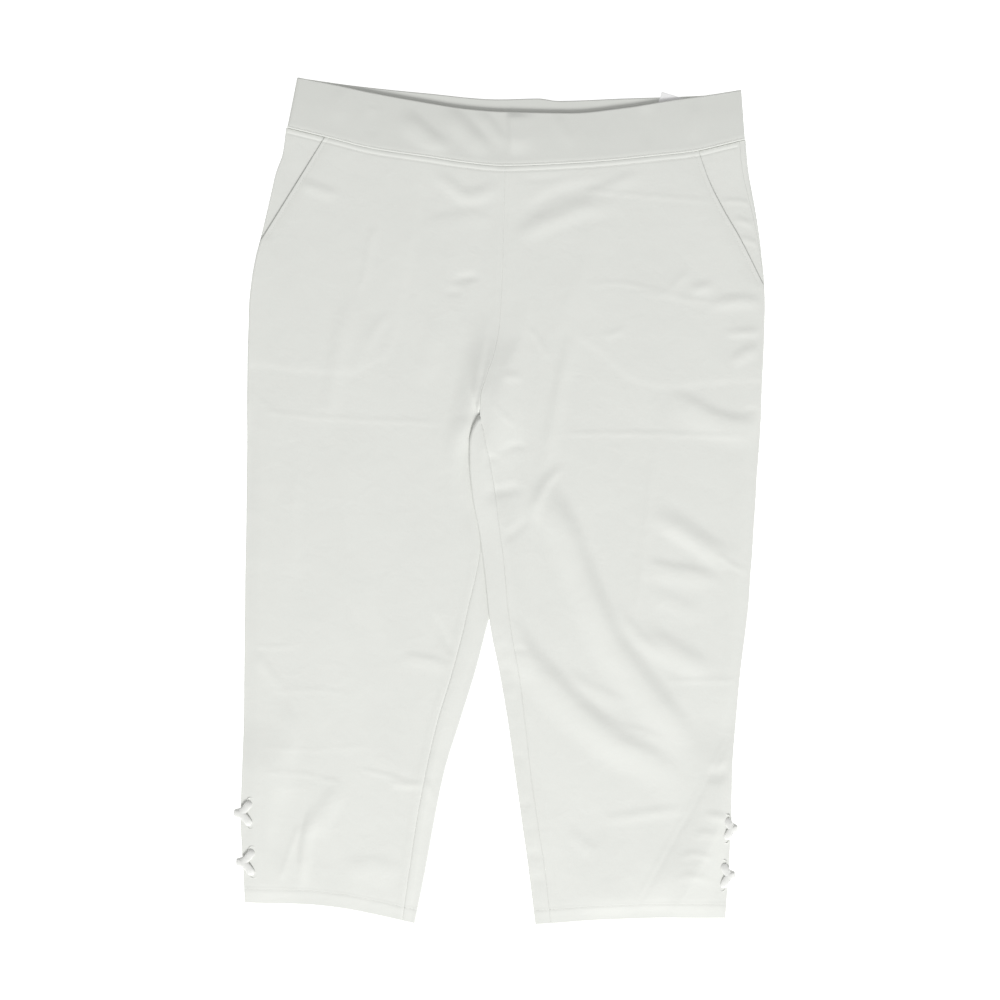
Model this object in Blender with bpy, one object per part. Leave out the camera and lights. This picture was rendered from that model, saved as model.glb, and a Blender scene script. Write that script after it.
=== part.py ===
"""Pull-on capri trousers, laid flat on a surface with the front up.

+Z is up, the waistband points to +Y, and the wearer's left leg is on the +X side.
Tables and constants are in millimetres; the meshes are written in metres.

Every cloth piece is a wall of even thickness round a middle surface.  Front and back
panels share the same rows and columns, so the layers stay parallel.  Below the crotch
each back panel turns round the inner edge of its leg and ends on top, at the inseam.
The left leg's inner edge lies over the right leg's.
"""
import math

import bpy
from mathutils import Vector

MM = 0.001

# Cloth and seams
CLOTH = 1.0
BAND_CLOTH = 2.4
LABEL_CLOTH = 1.0
SEAM_GAP = 0.3
WAIST_GAP = 0.9

# Heights of the middle surfaces over the floor
BACK_MID = 0.5 * CLOTH
TOP_MID = 1.9
BAG_RAISE = 1.45
POCKET_WAIST_RISE = 0.75
BACK_BAND_MID = 0.5 * BAND_CLOTH
FRONT_BAND_LOW_MID = 4.0
FRONT_BAND_RISE = 1.2
WAIST_RAMP = 55.0

# The left leg's inner edge lies on the right leg
OVERLAP_LIFT = 2.75
OVERLAP_FULL = 30.0
OVERLAP_RAMP = 32.0
OVERLAP_TOP = 150.0
CROTCH_Y = 88.0
OVERLAP_LOW = -125.0
OVERLAP_END = -190.0
CROTCH_MATCH_WIDTH = 45.0

# Lacing at the outer edge of each leg
LACE_WIDTH = 5.6
LACE_THICK = 2.8
LACE_LIFT = 3.3
LACE_CROSS_OFFSET = 1.2
LACE_REACH = 24.0
LACE_RAMP = 36.0
LACE_LIFT_TOP = -300.0
LACE_LIFT_FADE = 24.0

# Pocket pieces
PANEL_UNDER = 24.0
BAG_EDGE_INSET = 4.0

COLOURS = {
    "cloth": (0.80, 0.80, 0.77, 1.0),
    "band": (0.76, 0.77, 0.74, 1.0),
    "lace": (0.86, 0.86, 0.84, 1.0),
    "label": (0.93, 0.93, 0.93, 1.0),
}

# Hip sections: height y, right edge, centre seam, how far the left side seam lies
# inside the left edge, left edge
HIP_NAMES = ("y", "right", "centre", "left_wrap", "left")
HIP = (
    (390.0, -222.0, 5.0, 6.5, 254.5),
    (360.0, -226.0, 5.0, 6.5, 256.5),
    (340.0, -233.0, 5.0, 6.0, 258.5),
    (310.0, -240.0, 4.3, 4.5, 264.0),
    (280.0, -247.0, 3.5, 2.8, 269.0),
    (250.0, -254.5, 2.8, 1.4, 272.5),
    (230.0, -258.0, 2.0, 0.8, 274.5),
    (200.0, -261.0, 0.5, 0.0, 275.5),
    (180.0, -261.5, -1.0, 0.0, 275.0),
    (150.0, -262.5, -7.0, 0.0, 274.0),
    (130.0, -262.7, -14.0, 0.0, 273.0),
    (105.0, -263.0, -20.5, 0.0, 272.0),
    (88.0, -263.0, -21.0, 0.0, 271.5),
)

# Leg sections: height y, outer edge, inseam on the top side, inner edge
LEG_NAMES = ("y", "outer", "seam", "inner")
LEGS = {
    "right": (
        (88.0, -263.0, -21.0, -21.0),
        (75.0, -263.0, -20.0, -17.0),
        (60.0, -263.0, -19.0, -12.0),
        (40.0, -263.2, -18.5, -8.5),
        (20.0, -263.5, -18.0, -5.0),
        (0.0, -263.7, -18.0, -3.0),
        (-30.0, -264.0, -19.0, -1.0),
        (-55.0, -264.5, -21.0, -0.5),
        (-80.0, -265.0, -25.5, -2.5),
        (-105.0, -265.2, -31.5, -6.5),
        (-132.0, -265.5, -37.5, -13.5),
        (-180.0, -266.0, -50.0, -26.0),
        (-230.0, -266.5, -65.0, -41.5),
        (-280.0, -268.0, -76.5, -57.0),
        (-330.0, -269.5, -86.0, -67.5),
        (-380.0, -267.0, -93.5, -76.5),
        (-440.0, -264.0, -102.0, -88.5),
    ),
    "left": (
        (88.0, 271.5, -21.0, -21.0),
        (75.0, 271.0, -18.0, -29.0),
        (60.0, 270.0, -15.0, -32.0),
        (40.0, 268.5, -10.5, -32.0),
        (20.0, 267.0, -7.0, -30.5),
        (0.0, 266.0, -4.0, -28.0),
        (-30.0, 264.0, -0.5, -22.0),
        (-55.0, 262.5, 3.0, -18.5),
        (-80.0, 260.5, 5.5, -15.5),
        (-105.0, 259.0, 7.5, -13.0),
        (-132.0, 256.0, 11.0, -10.0),
        (-180.0, 250.0, 19.5, -0.5),
        (-230.0, 245.5, 26.0, 8.0),
        (-280.0, 241.5, 31.5, 15.0),
        (-330.0, 240.5, 38.5, 22.0),
        (-380.0, 238.0, 46.0, 29.0),
        (-440.0, 234.0, 53.0, 36.5),
    ),
}

# Waist seam, band edges and hems: x, y
WAIST_SEAM = (
    (-222.0, 387.0), (-181.0, 377.0), (-133.0, 365.0), (-70.0, 355.5), (-37.0, 350.5),
    (3.0, 347.0), (87.0, 350.5), (167.0, 358.0), (201.0, 362.0), (232.0, 369.0), (255.0, 374.5),
)
FRONT_BAND_TOP = (
    (-211.0, 439.0), (-175.0, 432.0), (-133.0, 423.0), (-78.0, 413.0), (-37.0, 406.5),
    (0.0, 403.5), (74.0, 402.0), (130.0, 407.5), (177.0, 415.0), (223.0, 421.5), (251.0, 426.0),
)
BACK_BAND_TOP = (
    (-211.0, 439.0), (-150.0, 430.5), (-78.0, 423.0), (0.0, 416.5), (40.0, 417.5),
    (60.0, 415.0), (130.0, 417.5), (213.0, 420.5), (251.0, 426.0),
)
BAND_ENDS = {"low": (-221.5, 255.0), "high": (-211.0, 251.0)}
HEMS = {
    "right": ((-265.0, -418.0), (-202.0, -420.0), (-164.0, -424.0), (-130.0, -430.5), (-88.0, -440.0)),
    "left": ((36.0, -441.0), (64.0, -439.0), (106.0, -436.0), (181.0, -434.0), (234.0, -434.0)),
}

# Slanted pocket openings, from the waist seam down: y, x
OPENINGS = {
    "right": ((269.5, -248.5), (325.0, -214.0), (377.0, -182.0)),
    "left": ((222.6, 274.0), (272.5, 249.0), (301.0, 232.5), (331.0, 217.5), (360.0, 207.0)),
}

# Pocket bags under the front: y, inner edge; the outer edge follows the side seam
BAGS = {
    "right": (
        (132.0, -150.0), (146.0, -124.0), (170.0, -110.0), (205.0, -101.0), (240.0, -95.0),
        (295.0, -86.0), (352.0, -81.0),
    ),
    "left": (
        (119.0, 165.0), (130.0, 132.0), (150.0, 108.0), (175.0, 86.0), (215.0, 80.0),
        (270.0, 86.0), (344.0, 93.0),
    ),
}
BAG_BOTTOM_OUTER = {"right": -236.0, "left": 246.0}

# Rows: the hip's by their y at the outer edge, the leg's by their y at the inseam
HIP_ROWS = {
    "right": (350.0, 322.0, 296.0, 270.0, 259.0, 230.0, 200.0, 170.0, 143.0),
    "left": (345.0, 315.0, 285.0, 255.0, 223.1, 212.0, 186.0, 158.0, 132.0),
}
LEG_ROWS = (
    88.0, 74.0, 58.0, 32.0, 0.0, -38.0, -75.0, -110.0, -148.0, -195.0, -245.0, -290.0,
    -318.0, -350.0, -382.0, -408.0, -426.0,
)

# Columns: distances from the seam, and from the outer edge
SEAM_COLUMNS = (0.15, 14.0, 30.0, 55.0)
EDGE_COLUMNS = (50.0, 26.0, 11.0)
MIDDLE_COLUMNS = 2
EDGE_LEAD = 2.0

# The largest folds of the front: x and y of both ends, half width, height
FOLDS = (
    (-190.0, -325.0, -202.0, -400.0, 30.0, 1.2),
    (-118.0, -135.0, -100.0, -250.0, 45.0, 1.2),
    (75.0, -135.0, 185.0, -300.0, 50.0, 1.6),
    (60.0, 10.0, 48.0, -60.0, 35.0, 1.4),
    (70.0, 320.0, 150.0, 320.0, 40.0, 1.0),
    (195.0, 80.0, 255.0, 70.0, 40.0, 1.0),
    (-160.0, 130.0, -175.0, 60.0, 40.0, 1.0),
    (-60.0, 330.0, 0.0, 295.0, 35.0, 1.0),
)
FOLD_EDGE_FADE = 35.0

# Lacing: y of the upper and lower eyelets of each crossed pair, distance from the edge
LACES = {
    "right": ((-312.0, -337.5, 10.5), (-362.5, -389.0, 11.0)),
    "left": ((-329.5, -352.5, 5.5), (-376.5, -402.5, 6.5)),
}
LACE_STEPS_FLAT = 2
LACE_STEPS_TURN = 6
LACE_SIDES = 6

# The blank label's upper corner, its size and tilt
LABEL_CORNER = (168.5, 422.5)
LABEL_SIZE = (30.0, 12.0)
LABEL_TILT = math.radians(-17.7)

SIDES = {"right": -1.0, "left": 1.0}


# ---------------------------------------------------------------- curves and fades

def smooth(t):
    """Eased step from 0 at t = 0 to 1 at t = 1."""
    t = min(1.0, max(0.0, t))
    return t * t * (3.0 - 2.0 * t)


def mix(a, b, t):
    return a + (b - a) * t


def slope_at(points, k):
    """Slope of a curve that never overshoots its points."""
    def secant(i):
        return (points[i + 1][1] - points[i][1]) / (points[i + 1][0] - points[i][0])
    if k == 0:
        return secant(0)
    if k == len(points) - 1:
        return secant(k - 1)
    before = secant(k - 1)
    after = secant(k)
    if before * after <= 0.0:
        return 0.0
    return 2.0 * before * after / (before + after)


def read(points, t):
    """Value at t on the smooth curve through (t, value) points in rising order."""
    if t <= points[0][0]:
        return points[0][1]
    if t >= points[-1][0]:
        return points[-1][1]
    i = max(k for k in range(len(points) - 1) if points[k][0] <= t)
    span = points[i + 1][0] - points[i][0]
    s = (t - points[i][0]) / span
    start = points[i][1] * (1 + 2 * s) * (1 - s) ** 2 + points[i + 1][1] * s * s * (3 - 2 * s)
    return start + span * (slope_at(points, i) * s * (1 - s) ** 2 - slope_at(points, i + 1) * s * s * (1 - s))


def column(table, names, name):
    """One named column of a table as (y, value) points in rising order."""
    k = names.index(name)
    return sorted((row[0], row[k]) for row in table)


LEFT_WRAP = column(HIP, HIP_NAMES, "left_wrap")
OUTER = {}
SEAM = {}
INNER = {}
for side in SIDES:
    OUTER[side] = column(LEGS[side], LEG_NAMES, "outer")[:-1] + column(HIP, HIP_NAMES, side)
    SEAM[side] = column(LEGS[side], LEG_NAMES, "seam")[:-1] + column(HIP, HIP_NAMES, "centre")
    INNER[side] = column(LEGS[side], LEG_NAMES, "inner")


def line_y(side, v, x):
    """Height y of row v (0 at the waist seam, 1 at the hem) at x."""
    return mix(read(WAIST_SEAM, x) - 0.5 * WAIST_GAP, read(HEMS[side], x), v)


def row_through(side, x, y):
    top = read(WAIST_SEAM, x) - 0.5 * WAIST_GAP
    return (top - y) / (top - read(HEMS[side], x))


def meet(side, v, curve):
    """Where row v meets a curve given as x over y."""
    x = read(curve, 0.0)
    for _ in range(12):
        x = read(curve, line_y(side, v, x))
    return x


# ---------------------------------------------------------------- heights

def lace_lift(side, x, y):
    """The cloth stands on the cords that pass under the leg's outer edge."""
    low = LACES[side][-1][1] - 12.0
    along = smooth((LACE_LIFT_TOP + LACE_LIFT_FADE - y) / LACE_LIFT_FADE)
    along *= smooth((y - low + LACE_LIFT_FADE) / LACE_LIFT_FADE)
    inside = abs(read(OUTER[side], y) - x)
    return LACE_LIFT * along * (1.0 - smooth((inside - LACE_REACH) / LACE_RAMP))


def overlap_lift(side, x, y):
    """The left leg's inner edge lies on the right leg; above the crotch both meet."""
    down = smooth((y - OVERLAP_END) / (OVERLAP_LOW - OVERLAP_END))
    up = smooth((OVERLAP_TOP - y) / (OVERLAP_TOP - CROTCH_Y))
    if side == "left":
        start = read(INNER[side], y) if y < CROTCH_Y else read(SEAM[side], y)
        across = 1.0 - smooth((x - start - OVERLAP_FULL) / OVERLAP_RAMP)
        return OVERLAP_LIFT * down * up * across
    near = 1.0 - smooth((read(SEAM[side], y) - x) / CROTCH_MATCH_WIDTH)
    return OVERLAP_LIFT * up * near * smooth((y - CROTCH_Y) / 30.0)


def back_z(side, x, y):
    return BACK_MID + lace_lift(side, x, y) + overlap_lift(side, x, y)


def near_waist(x, y):
    return smooth(1.0 - (read(WAIST_SEAM, x) - y) / WAIST_RAMP)


def pocket_z(side, x, y):
    """Side panels and pocket bags, which lie on the back."""
    return TOP_MID + POCKET_WAIST_RISE * near_waist(x, y)


def folds(side, x, y):
    """Largest soft folds of the front, faded out at the panel's edges."""
    total = 0.0
    for x1, y1, x2, y2, half_width, height in FOLDS:
        run_x = x2 - x1
        run_y = y2 - y1
        t = ((x - x1) * run_x + (y - y1) * run_y) / (run_x ** 2 + run_y ** 2)
        t = min(1.0, max(0.0, t))
        away = math.hypot(x - x1 - t * run_x, y - y1 - t * run_y)
        total += height * smooth(1.0 - away / half_width)
    seam = smooth(abs(x - read(SEAM[side], y)) / FOLD_EDGE_FADE)
    edge = smooth(abs(x - read(OUTER[side], y)) / FOLD_EDGE_FADE)
    return total * seam * edge


def front_z(side, x, y):
    over_bag = smooth((abs(x - read(SEAM[side], y)) - 5.0) / 25.0) * smooth((y - 60.0) / 45.0)
    height = TOP_MID + BAG_RAISE * over_bag
    height = mix(height, FRONT_BAND_LOW_MID, near_waist(x, y))
    fade = 1.0 - near_waist(x, y)
    return height + fade * folds(side, x, y) + lace_lift(side, x, y) + overlap_lift(side, x, y)


# ---------------------------------------------------------------- closed walls

def material(kind):
    name = "capri_" + kind
    found = bpy.data.materials.get(name)
    if found:
        return found
    made = bpy.data.materials.new(name)
    made.use_nodes = True
    shader = made.node_tree.nodes["Principled BSDF"]
    shader.inputs["Base Color"].default_value = COLOURS[kind]
    shader.inputs["Roughness"].default_value = 0.85
    shader.inputs["Metallic"].default_value = 0.0
    return made


def signed_volume(points, faces):
    return sum(points[a].dot(points[b].cross(points[c])) for a, b, c in faces) / 6.0


def make_object(name, points, faces, kind):
    """Object from triangles in millimetres, faces turned outward."""
    if signed_volume(points, faces) < 0.0:
        faces = [(c, b, a) for a, b, c in faces]
    mesh = bpy.data.meshes.new(name)
    mesh.from_pydata([tuple(p * MM) for p in points], [], faces)
    mesh.materials.append(material(kind))
    mesh.update()
    made = bpy.data.objects.new(name, mesh)
    bpy.context.scene.collection.objects.link(made)
    return made


def wall(name, surface, thickness, kind):
    """Closed wall of even thickness round a middle surface of triangles."""
    points = surface.points
    faces = surface.faces
    normals = [Vector((0.0, 0.0, 0.0)) for _ in points]
    for a, b, c in faces:
        normal = (points[b] - points[a]).cross(points[c] - points[a])
        for k in (a, b, c):
            normals[k] += normal
    for k, known in surface.known_normals.items():
        normals[k] = known if known.dot(normals[k]) > 0.0 else -known
    half = 0.5 * thickness
    upper = [p + n.normalized() * half for p, n in zip(points, normals)]
    lower = [p - n.normalized() * half for p, n in zip(points, normals)]
    count = len(points)
    solid = list(faces) + [(c + count, b + count, a + count) for a, b, c in faces]
    directed = {(f[k], f[(k + 1) % 3]) for f in faces for k in range(3)}
    for a, b in sorted(directed):
        if (b, a) not in directed:
            solid.append((b, a, a + count))
            solid.append((b, a + count, b + count))
    return make_object(name, upper + lower, solid, kind)


class Surface:
    """Middle surface built from rows of points.

    A point is (x, y, z), or (x, y, z, normal) where it lies on a turned edge.
    """

    def __init__(self):
        self.points = []
        self.faces = []
        self.known_normals = {}

    def row(self, coordinates):
        first = len(self.points)
        for k, values in enumerate(coordinates, first):
            self.points.append(Vector(values[:3]))
            if len(values) > 3:
                self.known_normals[k] = values[3]
        return list(range(first, first + len(coordinates)))

    def strip(self, above, below, turned=False):
        """Triangles between two rows; turned swaps the diagonal."""
        for j in range(len(above) - 1):
            a, b = above[j], above[j + 1]
            d, c = below[j], below[j + 1]
            if turned:
                self.faces += [(a, b, d), (b, c, d)]
            else:
                self.faces += [(a, b, c), (a, c, d)]


# ---------------------------------------------------------------- edges of a section

class Edge:
    """Path round a folded edge: flat below, half a turn, flat on top.

    Distance 0 is where the turn starts below; pi * radius is where it ends on top.
    """

    def __init__(self, side, v, extreme, outward, bottom, top, thickness):
        self.side = side
        self.v = v
        self.outward = outward
        self.bottom = bottom
        self.top = top
        start = extreme - outward * 0.5 * thickness
        y = line_y(side, v, start)
        low = bottom(side, start, y)
        self.radius = 0.5 * (top(side, start, y) - low)
        self.centre = (start - outward * self.radius, low + self.radius)
        self.turn = math.pi * self.radius

    def point(self, distance):
        if distance <= 0.0:
            x = self.centre[0] + self.outward * distance
            y = line_y(self.side, self.v, x)
            return (x, y, self.bottom(self.side, x, y))
        if distance >= self.turn:
            x = self.centre[0] - self.outward * (distance - self.turn)
            y = line_y(self.side, self.v, x)
            return (x, y, self.top(self.side, x, y))
        angle = distance / self.radius - 0.5 * math.pi
        normal = Vector((self.outward * math.cos(angle), 0.0, math.sin(angle)))
        x = self.centre[0] + self.radius * normal.x
        y = line_y(self.side, self.v, x)
        return (x, y, self.centre[1] + self.radius * normal.z, normal)


def pocket_end(side):
    return OPENINGS[side][0][0]


def outer_edge(side, v):
    """Outer edge of a row, and how far round it the side seam lies."""
    extreme = meet(side, v, OUTER[side])
    y = line_y(side, v, extreme)
    top = pocket_z if y > pocket_end(side) else front_z
    edge = Edge(side, v, extreme, SIDES[side], back_z, top, CLOTH)
    wrap = read(LEFT_WRAP, y) if side == "left" else 0.0
    reach = edge.radius + 0.5 * CLOTH
    if wrap > reach:
        seam = edge.turn + wrap - reach
    else:
        seam = 0.5 * edge.turn * (1.0 + wrap / reach)
    return edge, seam, y


def inner_edge(side, v):
    """Inner edge of a leg's row, and how far round it the inseam lies."""
    seam_x = meet(side, v, SEAM[side])
    inward = -SIDES[side]
    extreme = meet(side, v, INNER[side])
    least = seam_x + inward * 1.8
    if (extreme - least) * inward < 0.0:
        extreme = least
    edge = Edge(side, v, extreme, inward, back_z, front_z, CLOTH)
    seam = edge.turn + abs(edge.centre[0] - seam_x)
    return edge, seam


def rows(side):
    """Row values from the waist seam to the hem, and which one meets the crotch."""
    values = [0.0]
    for y in HIP_ROWS[side]:
        values.append(row_through(side, read(OUTER[side], y), y))
    crotch = len(values)
    for y in LEG_ROWS:
        values.append(row_through(side, read(SEAM[side], y), y))
    values.append(1.0)
    return values, crotch


def main_columns(side, v, last_x):
    """x of the columns from the seam outward, short of the edge itself."""
    outward = SIDES[side]
    seam_x = meet(side, v, SEAM[side])
    width = abs(last_x - seam_x)
    distances = list(SEAM_COLUMNS)
    far = width - EDGE_COLUMNS[0]
    for k in range(1, MIDDLE_COLUMNS + 1):
        distances.append(mix(SEAM_COLUMNS[-1], far, k / (MIDDLE_COLUMNS + 1)))
    distances += [width - d for d in EDGE_COLUMNS]
    return [seam_x + outward * d for d in distances]


# ---------------------------------------------------------------- trouser pieces

def back_panel(side):
    surface = Surface()
    values, crotch = rows(side)
    previous = None
    previous_flat = None
    previous_turn = None
    previous_flap = None
    for k, v in enumerate(values):
        edge, seam, _ = outer_edge(side, v)
        main = [(x, line_y(side, v, x)) for x in main_columns(side, v, edge.point(0.0)[0])]
        section = [(x, y, back_z(side, x, y)) for x, y in main]
        last = seam - 0.5 * SEAM_GAP
        arc = min(edge.turn, 0.8 * last)
        section += [edge.point(d) for d in (0.0, arc / 3, 2 * arc / 3, arc, last)]
        row = surface.row(section)
        if previous:
            surface.strip(previous, row)
        if k >= crotch:
            inner, inseam = inner_edge(side, v)
            start = inner.point(0.0)
            half = 0.5 * (start[0] + section[0][0])
            y = line_y(side, v, half)
            flat = [row[0]] + surface.row([(half, y, back_z(side, half, y)), start[:3]])
            turn = surface.row([inner.point(inner.turn * t / 3) for t in (1, 2, 3)])
            top_end = inseam - 0.5 * SEAM_GAP
            flap = surface.row([inner.point(0.5 * (inner.turn + top_end)), inner.point(top_end)])
            turn = [flat[-1]] + turn
            flap = [turn[-1]] + flap
            if previous_flat:
                surface.strip(flat, previous_flat)
                surface.strip(turn, previous_turn)
                surface.strip(flap, previous_flap, turned=True)
            previous_flat, previous_turn, previous_flap = flat, turn, flap
        previous = row
    wall("back_" + side, surface, CLOTH, "cloth")


def front_panel(side):
    surface = Surface()
    values, _ = rows(side)
    previous = None
    for v in values:
        edge, seam, y_edge = outer_edge(side, v)
        if y_edge > pocket_end(side):
            limit = meet(side, v, OPENINGS[side])
            ends = [limit - SIDES[side] * d for d in (3.0, 1.5, 0.0)]
            last_x = ends[0]
            tail = []
            for x in ends:
                y = line_y(side, v, x)
                tail.append((x, y, front_z(side, x, y)))
        else:
            end = seam + 0.5 * SEAM_GAP
            lead = edge.turn if end < edge.turn else end + EDGE_LEAD
            last_x = edge.point(lead)[0]
            tail = [edge.point(d) for d in (lead, 0.5 * (lead + end), end)]
        main = [(x, line_y(side, v, x)) for x in main_columns(side, v, last_x)]
        row = surface.row([(x, y, front_z(side, x, y)) for x, y in main] + tail)
        if previous:
            surface.strip(previous, row)
        previous = row
    wall("front_" + side, surface, CLOTH, "cloth")


def under_x(side, v):
    """Inner edge of the side panel, hidden under the front."""
    return meet(side, v, OPENINGS[side]) - SIDES[side] * PANEL_UNDER


def side_panel(side):
    """Hip piece that shows in the slanted pocket opening."""
    surface = Surface()
    values = [v for v in rows(side)[0] if outer_edge(side, v)[2] > pocket_end(side)]
    previous = None
    for v in values:
        edge, seam, _ = outer_edge(side, v)
        end = seam + 0.5 * SEAM_GAP
        lead = edge.turn if end < edge.turn else end + EDGE_LEAD
        first = under_x(side, v) + SIDES[side] * 0.5 * SEAM_GAP
        section = []
        for t in (0.0, 0.34, 0.67):
            x = mix(first, edge.point(lead)[0], t)
            y = line_y(side, v, x)
            section.append((x, y, pocket_z(side, x, y)))
        section += [edge.point(d) for d in (lead, 0.5 * (lead + end), end)]
        row = surface.row(section)
        if previous:
            surface.strip(previous, row)
        previous = row
    wall("side_panel_" + side, surface, CLOTH, "cloth")


def pocket_bag(side):
    """Pocket bag between the front and the back, sewn to the side panel."""
    surface = Surface()
    previous = None
    outward = SIDES[side]
    bottom = BAGS[side][0][0]
    lowest_row = row_through(side, BAG_BOTTOM_OUTER[side], bottom)
    values = [v for v in rows(side)[0] if v < lowest_row - 0.02]
    values.append(lowest_row)
    for v in values:
        inner = meet(side, v, BAGS[side])
        y_edge = outer_edge(side, v)[2]
        if y_edge > pocket_end(side):
            outer = under_x(side, v) - outward * 0.5 * SEAM_GAP
        elif v == lowest_row:
            outer = BAG_BOTTOM_OUTER[side]
        else:
            outer = meet(side, v, OUTER[side]) - outward * BAG_EDGE_INSET
        section = []
        for t in (0.0, 0.12, 0.37, 0.63, 0.88, 1.0):
            x = mix(inner, outer, t)
            y = line_y(side, v, x)
            section.append((x, y, pocket_z(side, x, y)))
        row = surface.row(section)
        if previous:
            surface.strip(previous, row)
        previous = row
    wall("pocket_bag_" + side, surface, CLOTH, "cloth")


# ---------------------------------------------------------------- waistband and label

BAND_ROWS = (0.0, 0.3, 0.6, 1.0)
BAND_COLUMNS = 14


def band_height(which, v):
    if which == "back":
        return BACK_BAND_MID
    return FRONT_BAND_LOW_MID + FRONT_BAND_RISE * smooth(v / 0.6)


def band_point(which, v, x, z):
    top = BACK_BAND_TOP if which == "back" else FRONT_BAND_TOP
    return (x, mix(read(WAIST_SEAM, x) + 0.5 * WAIST_GAP, read(top, x), v), z)


def band_turn(which, v, start_x, outward, angle):
    """Point on the band's turned end, at an angle round from its flat side."""
    upward = 1.0 if which == "back" else -1.0
    radius = 0.5 * (band_height("front", v) - band_height("back", v))
    normal = Vector((outward * math.sin(angle), 0.0, -upward * math.cos(angle)))
    z = band_height(which, v) + upward * radius + radius * normal.z
    return band_point(which, v, start_x + radius * normal.x, z) + (normal,)


def waistband(which):
    """Half of the doubled band; its ends turn to meet the other half."""
    surface = Surface()
    previous = None
    for v in BAND_ROWS:
        radius = 0.5 * (band_height("front", v) - band_height("back", v))
        left = mix(BAND_ENDS["low"][0], BAND_ENDS["high"][0], v) + 0.5 * BAND_CLOTH + radius
        right = mix(BAND_ENDS["low"][1], BAND_ENDS["high"][1], v) - 0.5 * BAND_CLOTH - radius
        stop = 0.5 * math.pi - 0.5 * SEAM_GAP / (radius - 0.5 * BAND_CLOTH)
        section = [band_turn(which, v, left, -1.0, angle) for angle in (stop, 0.5 * stop)]
        for k in range(BAND_COLUMNS + 1):
            x = mix(left, right, k / BAND_COLUMNS)
            section.append(band_point(which, v, x, band_height(which, v)))
        section += [band_turn(which, v, right, 1.0, angle) for angle in (0.5 * stop, stop)]
        row = surface.row(section)
        if previous:
            surface.strip(previous, row)
        previous = row
    wall("waistband_" + which, surface, BAND_CLOTH, "band")


def label():
    """Blank label inside the back band; one corner stands above its edge."""
    surface = Surface()
    across = Vector((math.cos(LABEL_TILT), math.sin(LABEL_TILT), 0.0))
    down = Vector((across.y, -across.x, 0.0))
    z = BAND_CLOTH + SEAM_GAP + 0.5 * LABEL_CLOTH
    corner = Vector((LABEL_CORNER[0], LABEL_CORNER[1], z))
    previous = None
    for drop in (0.0, 1.0):
        start = corner + down * (LABEL_SIZE[1] * drop)
        row = surface.row([start + across * (LABEL_SIZE[0] * t) for t in (0.0, 0.5, 1.0)])
        if previous:
            surface.strip(previous, row)
        previous = row
    wall("label", surface, LABEL_CLOTH, "label")


# ---------------------------------------------------------------- lacing

def lace_path(side, upper, lower, inset, outside):
    """Points and outward directions of one strand, from the top eyelet round the edge."""
    middle_y = 0.5 * (upper + lower)
    outward = SIDES[side]
    extreme = read(OUTER[side], middle_y)
    probe = extreme - outward * inset
    low = back_z(side, probe, middle_y) - 0.5 * CLOTH
    high = front_z(side, probe, middle_y) + 0.5 * CLOTH
    half_stack = 0.5 * (high - low)
    centre_x = extreme - outward * half_stack
    centre_z = 0.5 * (high + low)
    radius = half_stack + SEAM_GAP + 0.5 * LACE_THICK
    run = max(2.0, inset - half_stack)
    turn = math.pi * radius
    total = 2.0 * run + turn
    stations = [run * k / LACE_STEPS_FLAT for k in range(LACE_STEPS_FLAT)]
    stations += [run + turn * k / LACE_STEPS_TURN for k in range(LACE_STEPS_TURN)]
    stations += [run + turn + run * k / LACE_STEPS_FLAT for k in range(LACE_STEPS_FLAT + 1)]
    points = []
    normals = []
    for s in stations:
        angle = min(math.pi, max(0.0, (s - run) / radius)) - 0.5 * math.pi
        flat = max(0.0, run - s) + max(0.0, s - run - turn)
        normal = Vector((outward * math.cos(angle), 0.0, -math.sin(angle)))
        reach = radius + outside * LACE_CROSS_OFFSET * math.cos(angle) ** 2
        x = centre_x - outward * flat + normal.x * reach
        y = mix(upper, lower, s / total)
        points.append(Vector((x, y, centre_z + normal.z * reach)))
        normals.append(normal)
    return points, normals


def sweep(name, points, normals):
    """Closed oval cord along points; its flat side faces the cloth."""
    rings = []
    solid_points = []
    faces = []
    count = len(points)
    for k, point in enumerate(points):
        tangent = (points[min(count - 1, k + 1)] - points[max(0, k - 1)]).normalized()
        sideways = tangent.cross(normals[k]).normalized()
        up = sideways.cross(tangent).normalized()
        ring = []
        for j in range(LACE_SIDES):
            angle = 2.0 * math.pi * (j + 0.5) / LACE_SIDES
            across = sideways * (0.5 * LACE_WIDTH * math.cos(angle))
            ring.append(len(solid_points))
            solid_points.append(point + across + up * (0.5 * LACE_THICK * math.sin(angle)))
        rings.append(ring)
    for first, second in zip(rings, rings[1:]):
        for j in range(LACE_SIDES):
            n = (j + 1) % LACE_SIDES
            faces += [(first[j], first[n], second[n]), (first[j], second[n], second[j])]
    for j in range(1, LACE_SIDES - 1):
        faces.append((rings[0][0], rings[0][j + 1], rings[0][j]))
        faces.append((rings[-1][0], rings[-1][j], rings[-1][j + 1]))
    return make_object(name, solid_points, faces, "lace")


def laces():
    """One crossed pair of strands is one cord, joined where it crosses itself."""
    for side in SIDES:
        for number, (upper, lower, inset) in enumerate(LACES[side], 1):
            name = "lace_%s_%d" % (side, number)
            under = sweep(name, *lace_path(side, upper, lower, inset, 0.0))
            over = sweep(name + "_strand", *lace_path(side, lower, upper, inset, 1.0))
            over.hide_render = True
            over.display_type = "WIRE"
            join = under.modifiers.new("cross", "BOOLEAN")
            join.operation = "UNION"
            join.solver = "EXACT"
            join.object = over


def build():
    for old in list(bpy.data.objects):
        bpy.data.objects.remove(old, do_unlink=True)
    for name in SIDES:
        back_panel(name)
        front_panel(name)
        side_panel(name)
        pocket_bag(name)
    waistband("back")
    waistband("front")
    label()
    laces()


build()
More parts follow.
